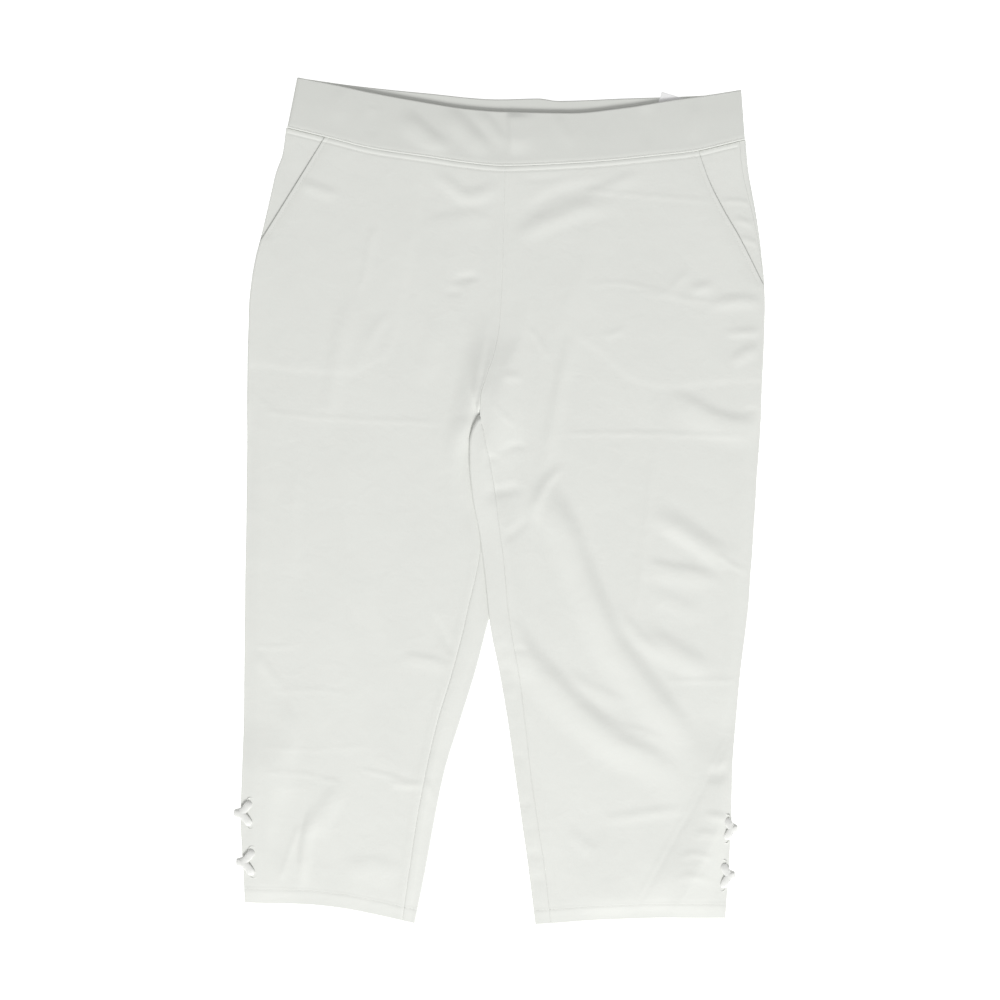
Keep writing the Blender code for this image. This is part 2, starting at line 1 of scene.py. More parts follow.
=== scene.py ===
"""Looks of a pair of pull-on capri trousers, laid flat with the front up.

+Z is up, the waistband points to +Y, and the wearer's left leg is on the +X side.
Tables and lengths are in millimetres, and meshes are written in metres.  Outlines and
layer heights repeat part.py's, so each shell lies on the solid that it stands for.  Only
the overlap at the crotch, the cords and the top of the front band stand a little apart
from it, because they follow loose cloth.
The trousers' front is one height field over the floor: the layers under it, the air
between them, pressed creases, soft folds and seams are all added up in top_height().
"""
import math

import bpy
import numpy as np
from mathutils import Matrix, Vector


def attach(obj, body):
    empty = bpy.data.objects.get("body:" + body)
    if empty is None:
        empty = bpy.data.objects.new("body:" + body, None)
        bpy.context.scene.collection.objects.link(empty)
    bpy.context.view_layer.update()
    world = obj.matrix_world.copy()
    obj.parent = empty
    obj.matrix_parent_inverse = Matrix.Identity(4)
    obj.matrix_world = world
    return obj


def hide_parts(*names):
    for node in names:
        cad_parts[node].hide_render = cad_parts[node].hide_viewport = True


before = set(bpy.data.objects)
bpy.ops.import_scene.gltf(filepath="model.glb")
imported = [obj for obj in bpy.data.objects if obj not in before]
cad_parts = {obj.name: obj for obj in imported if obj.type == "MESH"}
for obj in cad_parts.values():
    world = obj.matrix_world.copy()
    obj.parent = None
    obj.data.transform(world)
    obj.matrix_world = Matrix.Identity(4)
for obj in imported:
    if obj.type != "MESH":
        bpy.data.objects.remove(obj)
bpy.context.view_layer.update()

MM = 0.001
SIDES = {"right": -1.0, "left": 1.0}

# ---------------------------------------------------------------- sizes from the solids

CLOTH = 1.0
BAND_CLOTH = 2.4
LABEL_CLOTH = 0.5
BAG_CLOTH = 0.7
SEAM_GAP = 0.04
WAIST_GAP = 0.06

BACK_MID = 0.5
TOP_MID = 1.9
BAG_RAISE = 1.45
POCKET_WAIST_RISE = 0.75
BACK_BAND_MID = 1.2
FRONT_BAND_LOW_MID = 4.0
FRONT_BAND_RISE = 0.5
WAIST_RAMP = 55.0

# Where the left leg's inner part lies on the right leg: how far its upper and lower
# layers and the right leg's front are raised.  The front swells more than the solid does,
# as loose cloth, and the swelling runs up the centre seam.  Points are y, lift.
CROTCH_Y = 88.0
OVERLAP_LOW = -125.0
OVER_MOST = 7.8
OVER_TOP = (
    (-190, 0.0), (OVERLAP_LOW, 2.75), (-40, 3.6), (10, 5.4), (58, OVER_MOST), (98, OVER_MOST),
    (135, 4.4), (172, 0.7), (205, 0.0),
)
OVER_LOW = ((-190, 0.0), (OVERLAP_LOW, 2.75), (-20, 3.1), (25, 3.9), (60, 4.6), (92, 4.6), (150, 0.0))
UNDER = ((-118, 0.0), (-75, 0.4), (-20, 0.7), (60, 2.0), (92, 2.0), (205, 0.0))
OVERLAP_RAMP = 40.0
OVERLAP_START = -8.0
OVERLAP_INSET = 8.0
OVERLAP_SHIFT = 95.0
UNDER_WIDTH = 30.0
SEAM_RIDGE_WIDTH = 5.0
SEAM_RIDGE_SPREAD = 70.0
SEAM_RIDGE_RISE = 16.0

LACE_LIFT = 2.4
LACE_REACH = 24.0
LACE_RAMP = 36.0
LACE_LIFT_TOP = -285.0
LACE_LIFT_FADE = 60.0

PANEL_UNDER = 24.0
BAG_EDGE_INSET = 4.0

# Hip: height y, right edge, centre seam, how far the left side seam lies inside the
# left edge, left edge
HIP_NAMES = ("y", "right", "centre", "left_wrap", "left")
HIP = (
    (390, -222, 5, 6.5, 254.5),
    (360, -226, 5, 6.5, 256.5),
    (340, -233, 5, 6, 258.5),
    (310, -240, 4.3, 4.5, 264),
    (280, -247, 3.5, 2.8, 269),
    (250, -254.5, 2.8, 1.4, 272.5),
    (230, -258, 2, 0.8, 274.5),
    (200, -261, 0.5, 0, 275.5),
    (180, -261.5, -1, 0, 275),
    (150, -262.5, -7, 0, 274),
    (130, -262.7, -14, 0, 273),
    (105, -263, -20.5, 0, 272),
    (88, -263, -21, 0, 271.5),
)

# Legs: height y, outer edge, inseam on the top side, inner edge
LEG_NAMES = ("y", "outer", "seam", "inner")
LEGS = {
    "right": (
        (88, -263, -21, -21),
        (75, -263, -20, -17),
        (60, -263, -19, -12),
        (40, -263.2, -18.5, -8.5),
        (20, -263.5, -18, -5),
        (0, -263.7, -18, -3),
        (-30, -264, -19, -1),
        (-55, -264.5, -21, -0.5),
        (-80, -265, -25.5, -2.5),
        (-105, -265.2, -31.5, -6.5),
        (-132, -265.5, -37.5, -13.5),
        (-180, -266, -50, -26),
        (-230, -266.5, -65, -41.5),
        (-280, -268, -76.5, -57),
        (-330, -269.5, -86, -67.5),
        (-380, -267, -93.5, -76.5),
        (-440, -264, -102, -88.5),
    ),
    "left": (
        (88, 271.5, -21, -21),
        (75, 271, -18, -29),
        (60, 270, -15, -32),
        (40, 268.5, -10.5, -32),
        (20, 267, -7, -30.5),
        (0, 266, -4, -28),
        (-30, 264, -0.5, -22),
        (-55, 262.5, 3, -18.5),
        (-80, 260.5, 5.5, -15.5),
        (-105, 259, 7.5, -13),
        (-132, 256, 11, -10),
        (-180, 250, 19.5, -0.5),
        (-230, 245.5, 26, 8),
        (-280, 241.5, 31.5, 15),
        (-330, 240.5, 38.5, 22),
        (-380, 238, 46, 29),
        (-440, 234, 53, 36.5),
    ),
}

# Waist seam, band edges and hems: x, y
WAIST_SEAM = (
    (-222, 387), (-181, 377), (-133, 365), (-70, 355.5), (-37, 350.5),
    (3, 347), (87, 350.5), (167, 358), (201, 362), (232, 369), (255, 374.5),
)
FRONT_BAND_TOP = (
    (-211, 439), (-175, 432), (-133, 423), (-78, 413), (-37, 406.5),
    (0, 403.5), (74, 402), (130, 407.5), (177, 415), (223, 421.5), (251, 426),
)
BACK_BAND_TOP = (
    (-211, 439), (-150, 430.5), (-78, 423), (0, 416.5), (40, 417.5),
    (60, 415), (130, 417.5), (213, 420.5), (251, 426),
)
BAND_ENDS = {"low": (-221.5, 255.0), "high": (-211.0, 251.0)}
HEMS = {
    "right": ((-265, -418), (-202, -420), (-164, -424), (-130, -430.5), (-88, -440)),
    "left": ((36, -441), (64, -439), (106, -436), (181, -434), (234, -434)),
}

# Slanted pocket openings and, under the front, the bags' inner edges: y, x
OPENINGS = {
    "right": ((269.5, -248.5), (325, -214), (377, -182)),
    "left": ((222.6, 274), (272.5, 249), (301, 232.5), (331, 217.5), (360, 207)),
}
BAGS = {
    "right": (
        (132, -150), (146, -124), (170, -110), (205, -101), (240, -95),
        (295, -86), (352, -81),
    ),
    "left": (
        (119, 165), (130, 132), (150, 108), (175, 86), (215, 80),
        (270, 86), (344, 93),
    ),
}
BAG_BOTTOM_OUTER = {"right": -236.0, "left": 246.0}

# Lacing: y of the upper and lower eyelets of each crossed pair, distance from the edge
LACES = {
    "right": ((-312.0, -337.5, 10.5), (-362.5, -389.0, 11.0)),
    "left": ((-329.5, -352.5, 5.5), (-376.5, -402.5, 6.5)),
}

# ---------------------------------------------------------------- sizes of the looks

# Air between front and back, and how it closes towards the edges
LOFT = 1.3
EDGE_LOFT = 16.0
HEM_LOFT = 22.0

# The pocket bags raise the front from this far off the centre seam and this height y, and
# over these distances; their edges print through it
BAG_RAISE_FROM = (5.0, 60.0)
BAG_RAISE_OVER = (25.0, 45.0)
BAG_PRINT = 0.36
BAG_PRINT_WIDTH = 3.4
BAG_PRINT_FADE = 14.0
BAG_PRINTS = {
    "right": ((-263, 141), (-236, 138), (-209, 134), (-174, 132), (-147, 134), (-129, 145), (-114, 152),
              (-104, 190), (-95, 239), (-85, 295), (-81, 346)),
    "left": ((275, 124), (218, 122), (178, 117), (149, 121), (134, 127), (119, 139), (104, 153),
             (88, 163), (79, 176), (80, 215), (86, 270), (93, 344)),
}

# Seams, hems and their stitching
SEAM_DIP = 0.15
SEAM_CREST = 0.3
SEAM_DIP_WIDTH = 2.0
ALLOWANCE = 0.22
ALLOWANCE_WIDTH = 9.0
HEM_DEPTH = 16.0
HEM_ROW = -425.0
HEM_RAISE = 0.25
STITCH_DIP = 0.22
STITCH_DIP_WIDTH = 1.3
OPENING_STITCH = 4.2
OPENING_DROP = 0.35
OPENING_DROP_WIDTH = 14.0
WAIST_STITCH = 5.6
WAIST_RIDGE = 0.25
WAIST_RIDGE_MIDDLE = 2.6
BAND_STITCH = 2.3
STITCH_LENGTH = 2.3
STITCH_PITCH = 3.0
THREAD = 0.42

# Folds of the front.  Kind, height, half widths to the left and right of the line's run,
# and the line's points.  A soft fold swells and dies away along its line; a crease and a
# valley keep their height for most of it, and a valley's sides are straight.
FOLDS = {
    "right": (
        # hips
        ("soft", 1.0, 12, 12, (-73, 348), (-54, 329), (-36, 316), (-16, 319), (6, 330)),
        ("soft", 0.5, 10, 24, (-85, 283), (-57, 291), (-29, 295), (0, 288)),
        ("soft", 0.7, 8, 11, (-212, 332), (-189, 323), (-164, 315)),
        ("crease", 0.45, 8, 5, (-129, 285), (-136, 264), (-141, 233), (-148, 216)),
        ("soft", 0.9, 16, 13, (-144, 223), (-157, 204), (-164, 176), (-171, 142), (-176, 103), (-181, 61)),
        ("soft", 0.45, 9, 9, (-110, 199), (-131, 174), (-141, 149)),
        ("soft", -0.7, 8, 8, (-52, 228), (-35, 231), (-19, 234)),
        ("soft", -0.4, 5, 6, (-60, 214), (-49, 216), (-37, 217)),
        ("soft", 2.2, 7, 24, (-11, 197), (-19, 155), (-26, 119), (-33, 84), (-37, 53), (-36, 25)),
        ("soft", -0.8, 5, 14, (-37, 72), (-37, 30), (-33, -11), (-27, -48)),
        ("soft", 0.5, 20, 14, (-71, 197), (-73, 155), (-85, 113)),
        # thighs
        ("soft", -0.9, 16, 26, (-137, -95), (-127, -147), (-118, -199), (-110, -251), (-104, -282)),
        ("crease", 0.3, 5, 4, (-168, -6), (-162, -43), (-154, -95), (-148, -126)),
        ("soft", 0.5, 10, 20, (-208, 61), (-216, -22), (-208, -95)),
        # shins
        ("soft", 0.6, 6, 14, (-106, -161), (-77, -165), (-46, -174)),
        ("soft", -0.6, 7, 8, (-69, -115), (-58, -142), (-44, -165)),
        ("soft", 0.5, 8, 12, (-256, -155), (-241, -176), (-225, -199)),
        ("soft", 0.7, 10, 22, (-225, -203), (-216, -240), (-218, -280)),
        ("soft", 0.6, 5, 8, (-119, -290), (-98, -295), (-75, -294)),
        ("soft", 0.8, 5, 5, (-79, -290), (-72, -303), (-62, -316)),
        ("soft", 0.9, 16, 14, (-162, -290), (-181, -321), (-191, -353)),
        ("soft", 1.7, 12, 8, (-191, -313), (-200, -342), (-204, -370), (-205, -407)),
        ("crease", 0.5, 6, 4, (-208, -336), (-218, -363), (-229, -396)),
        ("soft", -0.8, 20, 16, (-223, -288), (-227, -334), (-232, -388)),
        ("soft", 0.6, 14, 26, (-166, -384), (-133, -378), (-100, -388)),
        # creases pressed in while the trousers lay folded
        ("crease", 0.3, 3, 3, (-260, 94), (-232, 90), (-191, 86), (-132, 83), (-51, 80)),
        ("crease", 0.3, 3, 3, (-267, 124), (-254, 109), (-233, 88)),
        ("crease", 0.3, 3, 3, (-244, -282), (-203, -285), (-160, -296)),
        ("crease", 0.35, 3, 3, (-146, -280), (-121, -285), (-98, -291)),
        ("crease", 0.25, 3, 3, (-255, -152), (-233, -153), (-212, -151)),
        ("crease", 0.2, 3, 4, (-241, -199), (-198, -197), (-154, -201)),
        ("crease", 0.2, 3, 4, (-252, -255), (-198, -259), (-133, -255)),
    ),
    "left": (
        # hips
        ("soft", 1.15, 13, 16, (6, 263), (29, 279), (54, 291), (81, 302), (106, 306), (131, 307)),
        ("soft", -0.7, 12, 12, (10, 288), (33, 302), (62, 317), (96, 324), (129, 329)),
        ("soft", 0.6, 8, 14, (73, 318), (104, 323), (129, 334), (154, 349)),
        ("soft", -0.5, 5, 6, (12, 335), (42, 334), (64, 338), (81, 346)),
        ("soft", 0.5, 14, 16, (81, 246), (72, 207), (66, 165)),
        ("soft", 0.5, 7, 8, (198, 240), (183, 224), (175, 207)),
        ("soft", 0.7, 9, 9, (196, 216), (208, 220), (223, 222)),
        ("soft", 0.9, 9, 12, (212, 201), (235, 206), (258, 207), (279, 202)),
        ("soft", 0.7, 7, 8, (231, 174), (252, 174), (279, 176)),
        ("soft", 0.9, 10, 12, (237, 138), (254, 152), (277, 161)),
        ("soft", 0.4, 6, 6, (104, 168), (119, 173), (133, 179)),
        # crotch
        ("soft", 0.5, 6, 9, (2, 132), (12, 128), (23, 132)),
        ("soft", -0.6, 6, 8, (-19, 38), (-10, 44), (0, 43)),
        ("soft", 1.2, 14, 9, (76, 188), (69, 155), (62, 119), (53, 72), (44, 16)),
        ("crease", 0.5, 5, 3, (31, 179), (40, 165), (50, 147)),
        ("crease", 0.4, 4, 4, (-8, 101), (2, 90), (14, 77)),
        ("soft", -0.6, 7, 8, (-2, 46), (15, 57), (29, 53)),
        ("soft", -0.8, 9, 10, (-25, -3), (-10, 7), (8, 11), (29, 14)),
        ("soft", -0.6, 8, 8, (0, -44), (14, -34), (31, -17)),
        # thighs
        ("soft", 1.5, 13, 30, (166, 110), (196, 100), (223, 86), (254, 79), (281, 78)),
        ("soft", -0.5, 5, 6, (252, 92), (266, 94), (279, 93)),
        ("soft", 1.3, 7, 10, (69, 37), (55, 25), (47, 14), (40, -1), (38, -14), (44, -26)),
        ("soft", 3.2, 18, 28, (40, 30), (54, -1), (69, -30), (81, -63), (92, -90), (104, -120),
         (123, -153)),
        ("soft", 2.6, 19, 32, (83, -74), (99, -108), (116, -147), (135, -172), (156, -199), (175, -224),
         (191, -249), (208, -278)),
        ("soft", 0.6, 9, 14, (114, -101), (135, -130), (158, -155), (183, -176)),
        ("soft", 2.5, 18, 32, (-2, -111), (21, -149), (47, -181), (73, -209), (98, -232), (123, -251),
         (150, -264), (171, -280), (198, -308)),
        ("soft", 0.5, 10, 14, (62, -172), (85, -190), (112, -203), (141, -215)),
        ("soft", 0.5, 9, 12, (100, -222), (127, -236), (154, -244), (175, -257)),
        ("soft", 2.2, 90, 40, (62, -422), (114, -412), (156, -396), (208, -365)),
        ("soft", 1.5, 17, 22, (141, -130), (168, -149), (198, -167), (225, -184)),
        ("soft", 1.9, 18, 17, (154, -9), (185, -30), (214, -49), (243, -70)),
        ("crease", 0.5, 4, 5, (225, -55), (241, -67), (262, -77)),
        ("soft", 1.1, 11, 22, (146, -63), (175, -72), (202, -76), (231, -88)),
        ("soft", 0.5, 12, 18, (152, -90), (177, -105), (214, -124)),
        ("crease", 0.45, 5, 7, (161, 61), (155, -1), (149, -63), (140, -128)),
        # shins
        ("valley", 2.0, 28, 32, (268, -259), (243, -309), (210, -373), (171, -448)),
        ("valley", -0.7, 5, 60, (248, -224), (225, -267), (202, -312), (173, -365), (133, -437)),
        ("soft", -1.1, 12, 12, (210, -288), (227, -284), (248, -280)),
        ("soft", 0.7, 7, 8, (210, -326), (229, -329), (248, -332)),
        ("soft", 0.45, 6, 7, (198, -350), (214, -346), (231, -350)),
        ("soft", 0.45, 5, 6, (183, -373), (202, -367), (225, -373)),
        ("soft", 0.4, 5, 6, (179, -396), (198, -390), (223, -396)),
        ("soft", 0.5, 8, 10, (98, -333), (135, -328), (171, -323), (202, -321)),
        ("soft", 0.5, 12, 12, (69, -340), (85, -357), (102, -371)),
        ("soft", -0.4, 6, 6, (10, -157), (21, -155), (31, -159)),
        # wrapped strips beside the inseams
        ("soft", -0.6, 6, 6, (-17, -153), (-2, -157), (12, -149)),
        ("soft", -0.8, 6, 6, (-12, -184), (2, -176), (17, -176)),
        ("soft", 0.5, 5, 6, (-8, -203), (6, -199), (21, -194)),
        ("soft", -0.6, 6, 6, (2, -271), (17, -267), (31, -271)),
        ("soft", -1.0, 5, 5, (10, -313), (23, -316), (35, -313)),
        ("soft", -0.6, 5, 5, (12, -346), (27, -342), (42, -340)),
        ("soft", -0.7, 6, 6, (17, -375), (31, -369), (46, -365)),
        ("soft", -0.7, 5, 6, (21, -400), (33, -395), (48, -394)),
        # creases pressed in while the trousers lay folded
        ("crease", 0.35, 3, 3, (55, 68), (104, 69), (162, 69), (208, 67), (267, 66)),
        ("crease", 0.3, 3, 3, (81, 322), (138, 317), (224, 310)),
        ("crease", 0.3, 3, 3, (83, 223), (125, 225), (166, 217), (230, 202)),
        ("crease", 0.25, 3, 3, (142, 216), (175, 211), (208, 204)),
        ("crease", 0.45, 3, 3, (248, -222), (225, -265), (201, -311), (171, -364), (132, -436)),
        ("crease", 0.35, 3, 3, (171, -187), (208, -188), (249, -187)),
    ),
}
BAND_FOLDS = (
    ("soft", 1.5, 13, 20, (-104, 405), (-79, 381), (-50, 359)),
    ("soft", 1.5, 13, 18, (-58, 409), (-35, 384), (-10, 357)),
    ("soft", 0.9, 9, 12, (-25, 407), (-6, 384), (8, 363)),
    ("soft", 2.0, 30, 6, (11, 415), (12, 386), (14, 355)),
    ("soft", 0.4, 10, 10, (54, 402), (64, 386), (75, 365)),
    ("soft", -0.5, 10, 14, (154, 415), (153, 386), (154, 363)),
    ("soft", 0.4, 12, 12, (-166, 432), (-166, 410), (-171, 390)),
    ("soft", -0.4, 12, 12, (-133, 407), (-133, 392), (-129, 375)),
    ("soft", 0.4, 14, 14, (200, 415), (202, 392), (198, 369)),
)
# Folds of the back, on the underside
BACK_FOLDS = {
    "right": (
        ("soft", 0.3, 20, 26, (-190, 300), (-120, 270), (-60, 285)),
        ("soft", 0.32, 20, 26, (-60, 120), (-110, 60), (-170, 20)),
        ("soft", 0.28, 16, 24, (-230, -60), (-180, -120), (-110, -150)),
        ("crease", 0.3, 3, 3, (-250, 92), (-150, 86), (-60, 82)),
        ("soft", 0.3, 14, 20, (-200, -240), (-170, -300), (-180, -370)),
    ),
    "left": (
        ("soft", 0.3, 18, 24, (60, 290), (130, 262), (200, 296)),
        ("soft", 0.32, 20, 28, (50, 110), (110, 50), (190, 10)),
        ("soft", 0.3, 16, 24, (60, -60), (110, -130), (180, -170)),
        ("crease", 0.3, 3, 3, (50, 70), (150, 72), (255, 69)),
        ("soft", 0.3, 14, 20, (90, -250), (140, -300), (150, -380)),
    ),
}
FOLD_EDGE_FADE = 9.0

# Mesh spacing: rows and columns of the front, and of what mostly hides, over the length
# and width of a leg
FRONT_STEP = 2.8
BACK_STEP = 5.0
ROWS_LENGTH = 790.0
LEG_WIDTH = 240.0


# ---------------------------------------------------------------- curves and fades

def smooth(t):
    """Eased step from 0 at t = 0 to 1 at t = 1."""
    t = np.clip(t, 0.0, 1.0)
    return t * t * (3.0 - 2.0 * t)


def mix(a, b, t):
    return a + (b - a) * t


def bump(d, width):
    """1 at d = 0, easing to 0 at a distance of width."""
    return smooth(1.0 - np.abs(d) / width)


class Curve:
    """Smooth curve through (t, value) points that never overshoots them."""

    def __init__(self, points):
        points = sorted(points)
        self.t = np.array([p[0] for p in points], float)
        self.value = np.array([p[1] for p in points], float)
        secant = np.diff(self.value) / np.diff(self.t)
        before, after = secant[:-1], secant[1:]
        total = np.where(before + after == 0.0, 1.0, before + after)
        middle = np.where(before * after > 0.0, 2.0 * before * after / total, 0.0)
        self.slope = np.concatenate([secant[:1], middle, secant[-1:]])

    def __call__(self, t):
        t = np.clip(t, self.t[0], self.t[-1])
        i = np.clip(np.searchsorted(self.t, t, side="right") - 1, 0, len(self.t) - 2)
        span = self.t[i + 1] - self.t[i]
        s = (t - self.t[i]) / span
        rise = self.value[i] * (1 + 2 * s) * (1 - s) ** 2 + self.value[i + 1] * s * s * (3 - 2 * s)
        bend = self.slope[i] * s * (1 - s) ** 2 - self.slope[i + 1] * s * s * (1 - s)
        return rise + span * bend

    def tilt(self, t):
        """Change of value per unit of t."""
        return (self(t + 1.0) - self(t - 1.0)) / 2.0


def column(table, names, name):
    """One named column of a table as (y, value) points."""
    k = names.index(name)
    return [(row[0], row[k]) for row in table]


WAIST = Curve(WAIST_SEAM)
BAND_TOP = {"front": Curve(FRONT_BAND_TOP), "back": Curve(BACK_BAND_TOP)}
LEFT_WRAP = Curve(column(HIP, HIP_NAMES, "left_wrap"))
HEM, OPENING, BAG, OUTER, SEAM, INNER = {}, {}, {}, {}, {}, {}
for side in SIDES:
    HEM[side] = Curve(HEMS[side])
    OPENING[side] = Curve(OPENINGS[side])
    BAG[side] = Curve(BAGS[side])
    OUTER[side] = Curve(column(LEGS[side], LEG_NAMES, "outer")[1:] + column(HIP, HIP_NAMES, side))
    SEAM[side] = Curve(column(LEGS[side], LEG_NAMES, "seam")[1:] + column(HIP, HIP_NAMES, "centre"))
    INNER[side] = Curve(column(LEGS[side], LEG_NAMES, "inner"))


def pocket_end(side):
    return OPENINGS[side][0][0]


def line_y(side, v, x):
    """Height y of row v (0 at the waist seam, 1 at the hem) at x."""
    return mix(WAIST(x) - 0.5 * WAIST_GAP, HEM[side](x), v)


def row_through(side, x, y):
    top = WAIST(x) - 0.5 * WAIST_GAP
    return (top - y) / (top - HEM[side](x))


def meet(side, v, curve):
    """x where rows v meet a curve given as x over y."""
    x = curve(np.zeros_like(v))
    for _ in range(12):
        x = curve(line_y(side, v, x))
    return x


class Line:
    """Smooth line through points, with the distance to it and how far along it."""

    def __init__(self, points, per_span=6):
        p = np.array(points, float)
        p = np.vstack([2 * p[0] - p[1], p, 2 * p[-1] - p[-2]])
        t = np.linspace(0.0, 1.0, per_span, endpoint=False)[:, None]
        spans = []
        for a, b, c, d in zip(p, p[1:], p[2:], p[3:]):
            spans.append(0.5 * (2 * b + (c - a) * t + (2 * a - 5 * b + 4 * c - d) * t ** 2
                                + (3 * b - a - 3 * c + d) * t ** 3))
        self.points = np.vstack(spans + [p[-2:-1]])
        self.steps = np.linalg.norm(np.diff(self.points, axis=0), axis=1)
        self.ends = np.concatenate([[0.0], np.cumsum(self.steps)])
        self.length = self.ends[-1]

    def near(self, x, y):
        """Signed distance (above 0 on the left of the run) and share of the length."""
        best = np.full(x.shape, 1e9)
        signed = np.full(x.shape, 1e9)
        share = np.zeros(x.shape)
        for a, b, step, start in zip(self.points, self.points[1:], self.steps, self.ends):
            run = (b - a) / step
            along = np.clip((x - a[0]) * run[0] + (y - a[1]) * run[1], 0.0, step)
            dx = x - a[0] - along * run[0]
            dy = y - a[1] - along * run[1]
            away = np.hypot(dx, dy)
            closer = away < best
            best = np.where(closer, away, best)
            signed = np.where(closer, away * np.where(run[0] * dy - run[1] * dx >= 0.0, 1.0, -1.0), signed)
            share = np.where(closer, (start + along) / self.length, share)
        return signed, share


def fold_field(folds, x, y):
    """Sum of folds (kind, height, left and right half width, points) at x, y."""
    total = np.zeros(x.shape)
    flat_x, flat_y, out = x.ravel(), y.ravel(), total.ravel()
    for kind, height, left, right, *points in folds:
        line = Line(points)
        reach = max(left, right)
        low = line.points.min(axis=0) - reach
        high = line.points.max(axis=0) + reach
        near = (flat_x > low[0]) & (flat_x < high[0]) & (flat_y > low[1]) & (flat_y < high[1])
        if not near.any():
            continue
        away, share = line.near(flat_x[near], flat_y[near])
        width = np.where(away > 0.0, left, right)
        far = np.clip(np.abs(away) / width, 0.0, 1.0)
        across = 1.0 - far if kind == "valley" else 0.5 + 0.5 * np.cos(np.pi * far)
        fade = 0.35 if kind == "soft" else 0.15
        along = smooth(share / fade) * smooth((1.0 - share) / fade)
        out[near] += height * across * along
    return out.reshape(x.shape)


# ---------------------------------------------------------------- heights

def lace_lift(side, x, y):
    """The cloth stands on the cords that pass under the leg's outer edge."""
    low = LACES[side][-1][1] - 12.0
    along = smooth((LACE_LIFT_TOP + LACE_LIFT_FADE - y) / LACE_LIFT_FADE)
    along = along * smooth((y - low + LACE_LIFT_FADE) / LACE_LIFT_FADE)
    inside = np.abs(OUTER[side](y) - x)
    return LACE_LIFT * along * (1.0 - smooth((inside - LACE_REACH) / LACE_RAMP))


LIFTS = {"top": Curve(OVER_TOP), "low": Curve(OVER_LOW), "under": Curve(UNDER)}


def overlap_lift(side, x, y, layer="top"):
    """The left leg's inner edge lies on the right leg; above the crotch both meet."""
    start = np.where(y < CROTCH_Y, INNER["left"](y), SEAM[side](y))
    lift = LIFTS[layer](y)
    if side == "left":
        below = smooth((CROTCH_Y + 12.0 - y) / OVERLAP_SHIFT)
        begins = mix(OVERLAP_START, start + OVERLAP_INSET, below)
        share = np.clip(1.0 - (x - begins) / OVERLAP_RAMP, 0.0, 1.0)
        most = OVER_MOST * share * share * (2.0 - share)
        apart = np.sqrt((most - lift) ** 2 + 0.6 * most * lift / OVER_MOST)
        return np.maximum(0.5 * (most + lift - apart), 0.0)
    near = 1.0 - smooth((start - x) / UNDER_WIDTH)
    if layer == "low":
        return lift * near * smooth((y - CROTCH_Y) / UNDER_WIDTH)
    under = LIFTS["under"](y)
    width = mix(SEAM_RIDGE_WIDTH, UNDER_WIDTH, smooth((y - CROTCH_Y) / SEAM_RIDGE_SPREAD))
    ridge = smooth((y - CROTCH_Y + 4.0) / SEAM_RIDGE_RISE) * (1.0 - smooth((start - x) / width))
    return under * near + (lift - under) * ridge


def flat_back_height(side, x, y):
    """Middle of the back, which lies on the floor."""
    return BACK_MID + lace_lift(side, x, y) + overlap_lift(side, x, y, "low")


def back_height(side, x, y):
    return flat_back_height(side, x, y) + fold_field(BACK_FOLDS[side], x, y)


def near_waist(x, y):
    return smooth(1.0 - (WAIST(x) - y) / WAIST_RAMP)


def pocket_height(side, x, y):
    """Middle of the side panels and pocket bags, which lie on the back."""
    return TOP_MID + POCKET_WAIST_RISE * near_waist(x, y)


def hem_away(side, x, y):
    return y - HEM[side](x)


def seam_profile(d, y):
    """Edge of a pressed-open seam at a distance d, with its allowance beside it."""
    dip = mix(-SEAM_DIP, SEAM_CREST, smooth((y - CROTCH_Y) / 20.0)) * bump(d, SEAM_DIP_WIDTH)
    allowance = ALLOWANCE * smooth(np.abs(d) / SEAM_DIP_WIDTH) * smooth((ALLOWANCE_WIDTH - np.abs(d)) / 2.5)
    return dip + allowance


def waist_relief(below):
    """Ridge over the waist seam's allowance, and the stitching under it."""
    ridge = WAIST_RIDGE * bump(below - WAIST_RIDGE_MIDDLE, WAIST_RIDGE_MIDDLE)
    return ridge - STITCH_DIP * bump(below - WAIST_STITCH, STITCH_DIP_WIDTH)


def hem_profile(side, x, y):
    """The turned-up hem is thicker, and its stitching pulls in."""
    above = hem_away(side, x, y)
    return (HEM_RAISE * smooth((HEM_DEPTH + 1.0 - above) / 2.0)
            - STITCH_DIP * bump(above - HEM_DEPTH + 1.5, STITCH_DIP_WIDTH))


def opening_distance(side, x, y):
    """Distance from the slanted pocket edge, above 0 on the front."""
    tilt = OPENING[side].tilt(y)
    return (OPENING[side](y) - x) * SIDES[side] / np.sqrt(1.0 + tilt * tilt)


def bag_print(side, x, y):
    away, _ = Line(BAG_PRINTS[side], 4).near(x, y)
    inside = -away * SIDES[side]
    step = smooth(0.5 + 0.5 * inside / BAG_PRINT_WIDTH)
    ended = smooth(0.5 + 0.5 * (y - BAG_PRINTS[side][0][1] + BAG_PRINT_FADE) / BAG_PRINT_FADE)
    return BAG_PRINT * step * ended


def loft(side, x, y):
    """Air under the front, closed where an edge or the other leg presses it."""
    edge = smooth(np.abs(OUTER[side](y) - x) / EDGE_LOFT)
    inner = smooth(np.abs(x - INNER[side](y)) / EDGE_LOFT)
    if side == "right":
        pressed = (INNER["left"](y) - x - 1.0) / EDGE_LOFT
        inner = inner * smooth(pressed + np.maximum(OVERLAP_LOW - y, 0.0) / 20.0)
    inner = mix(1.0, inner, smooth((CROTCH_Y - 10.0 - y) / 40.0))
    hem = mix(0.45, 1.0, smooth(hem_away(side, x, y) / HEM_LOFT))
    return edge * inner * hem


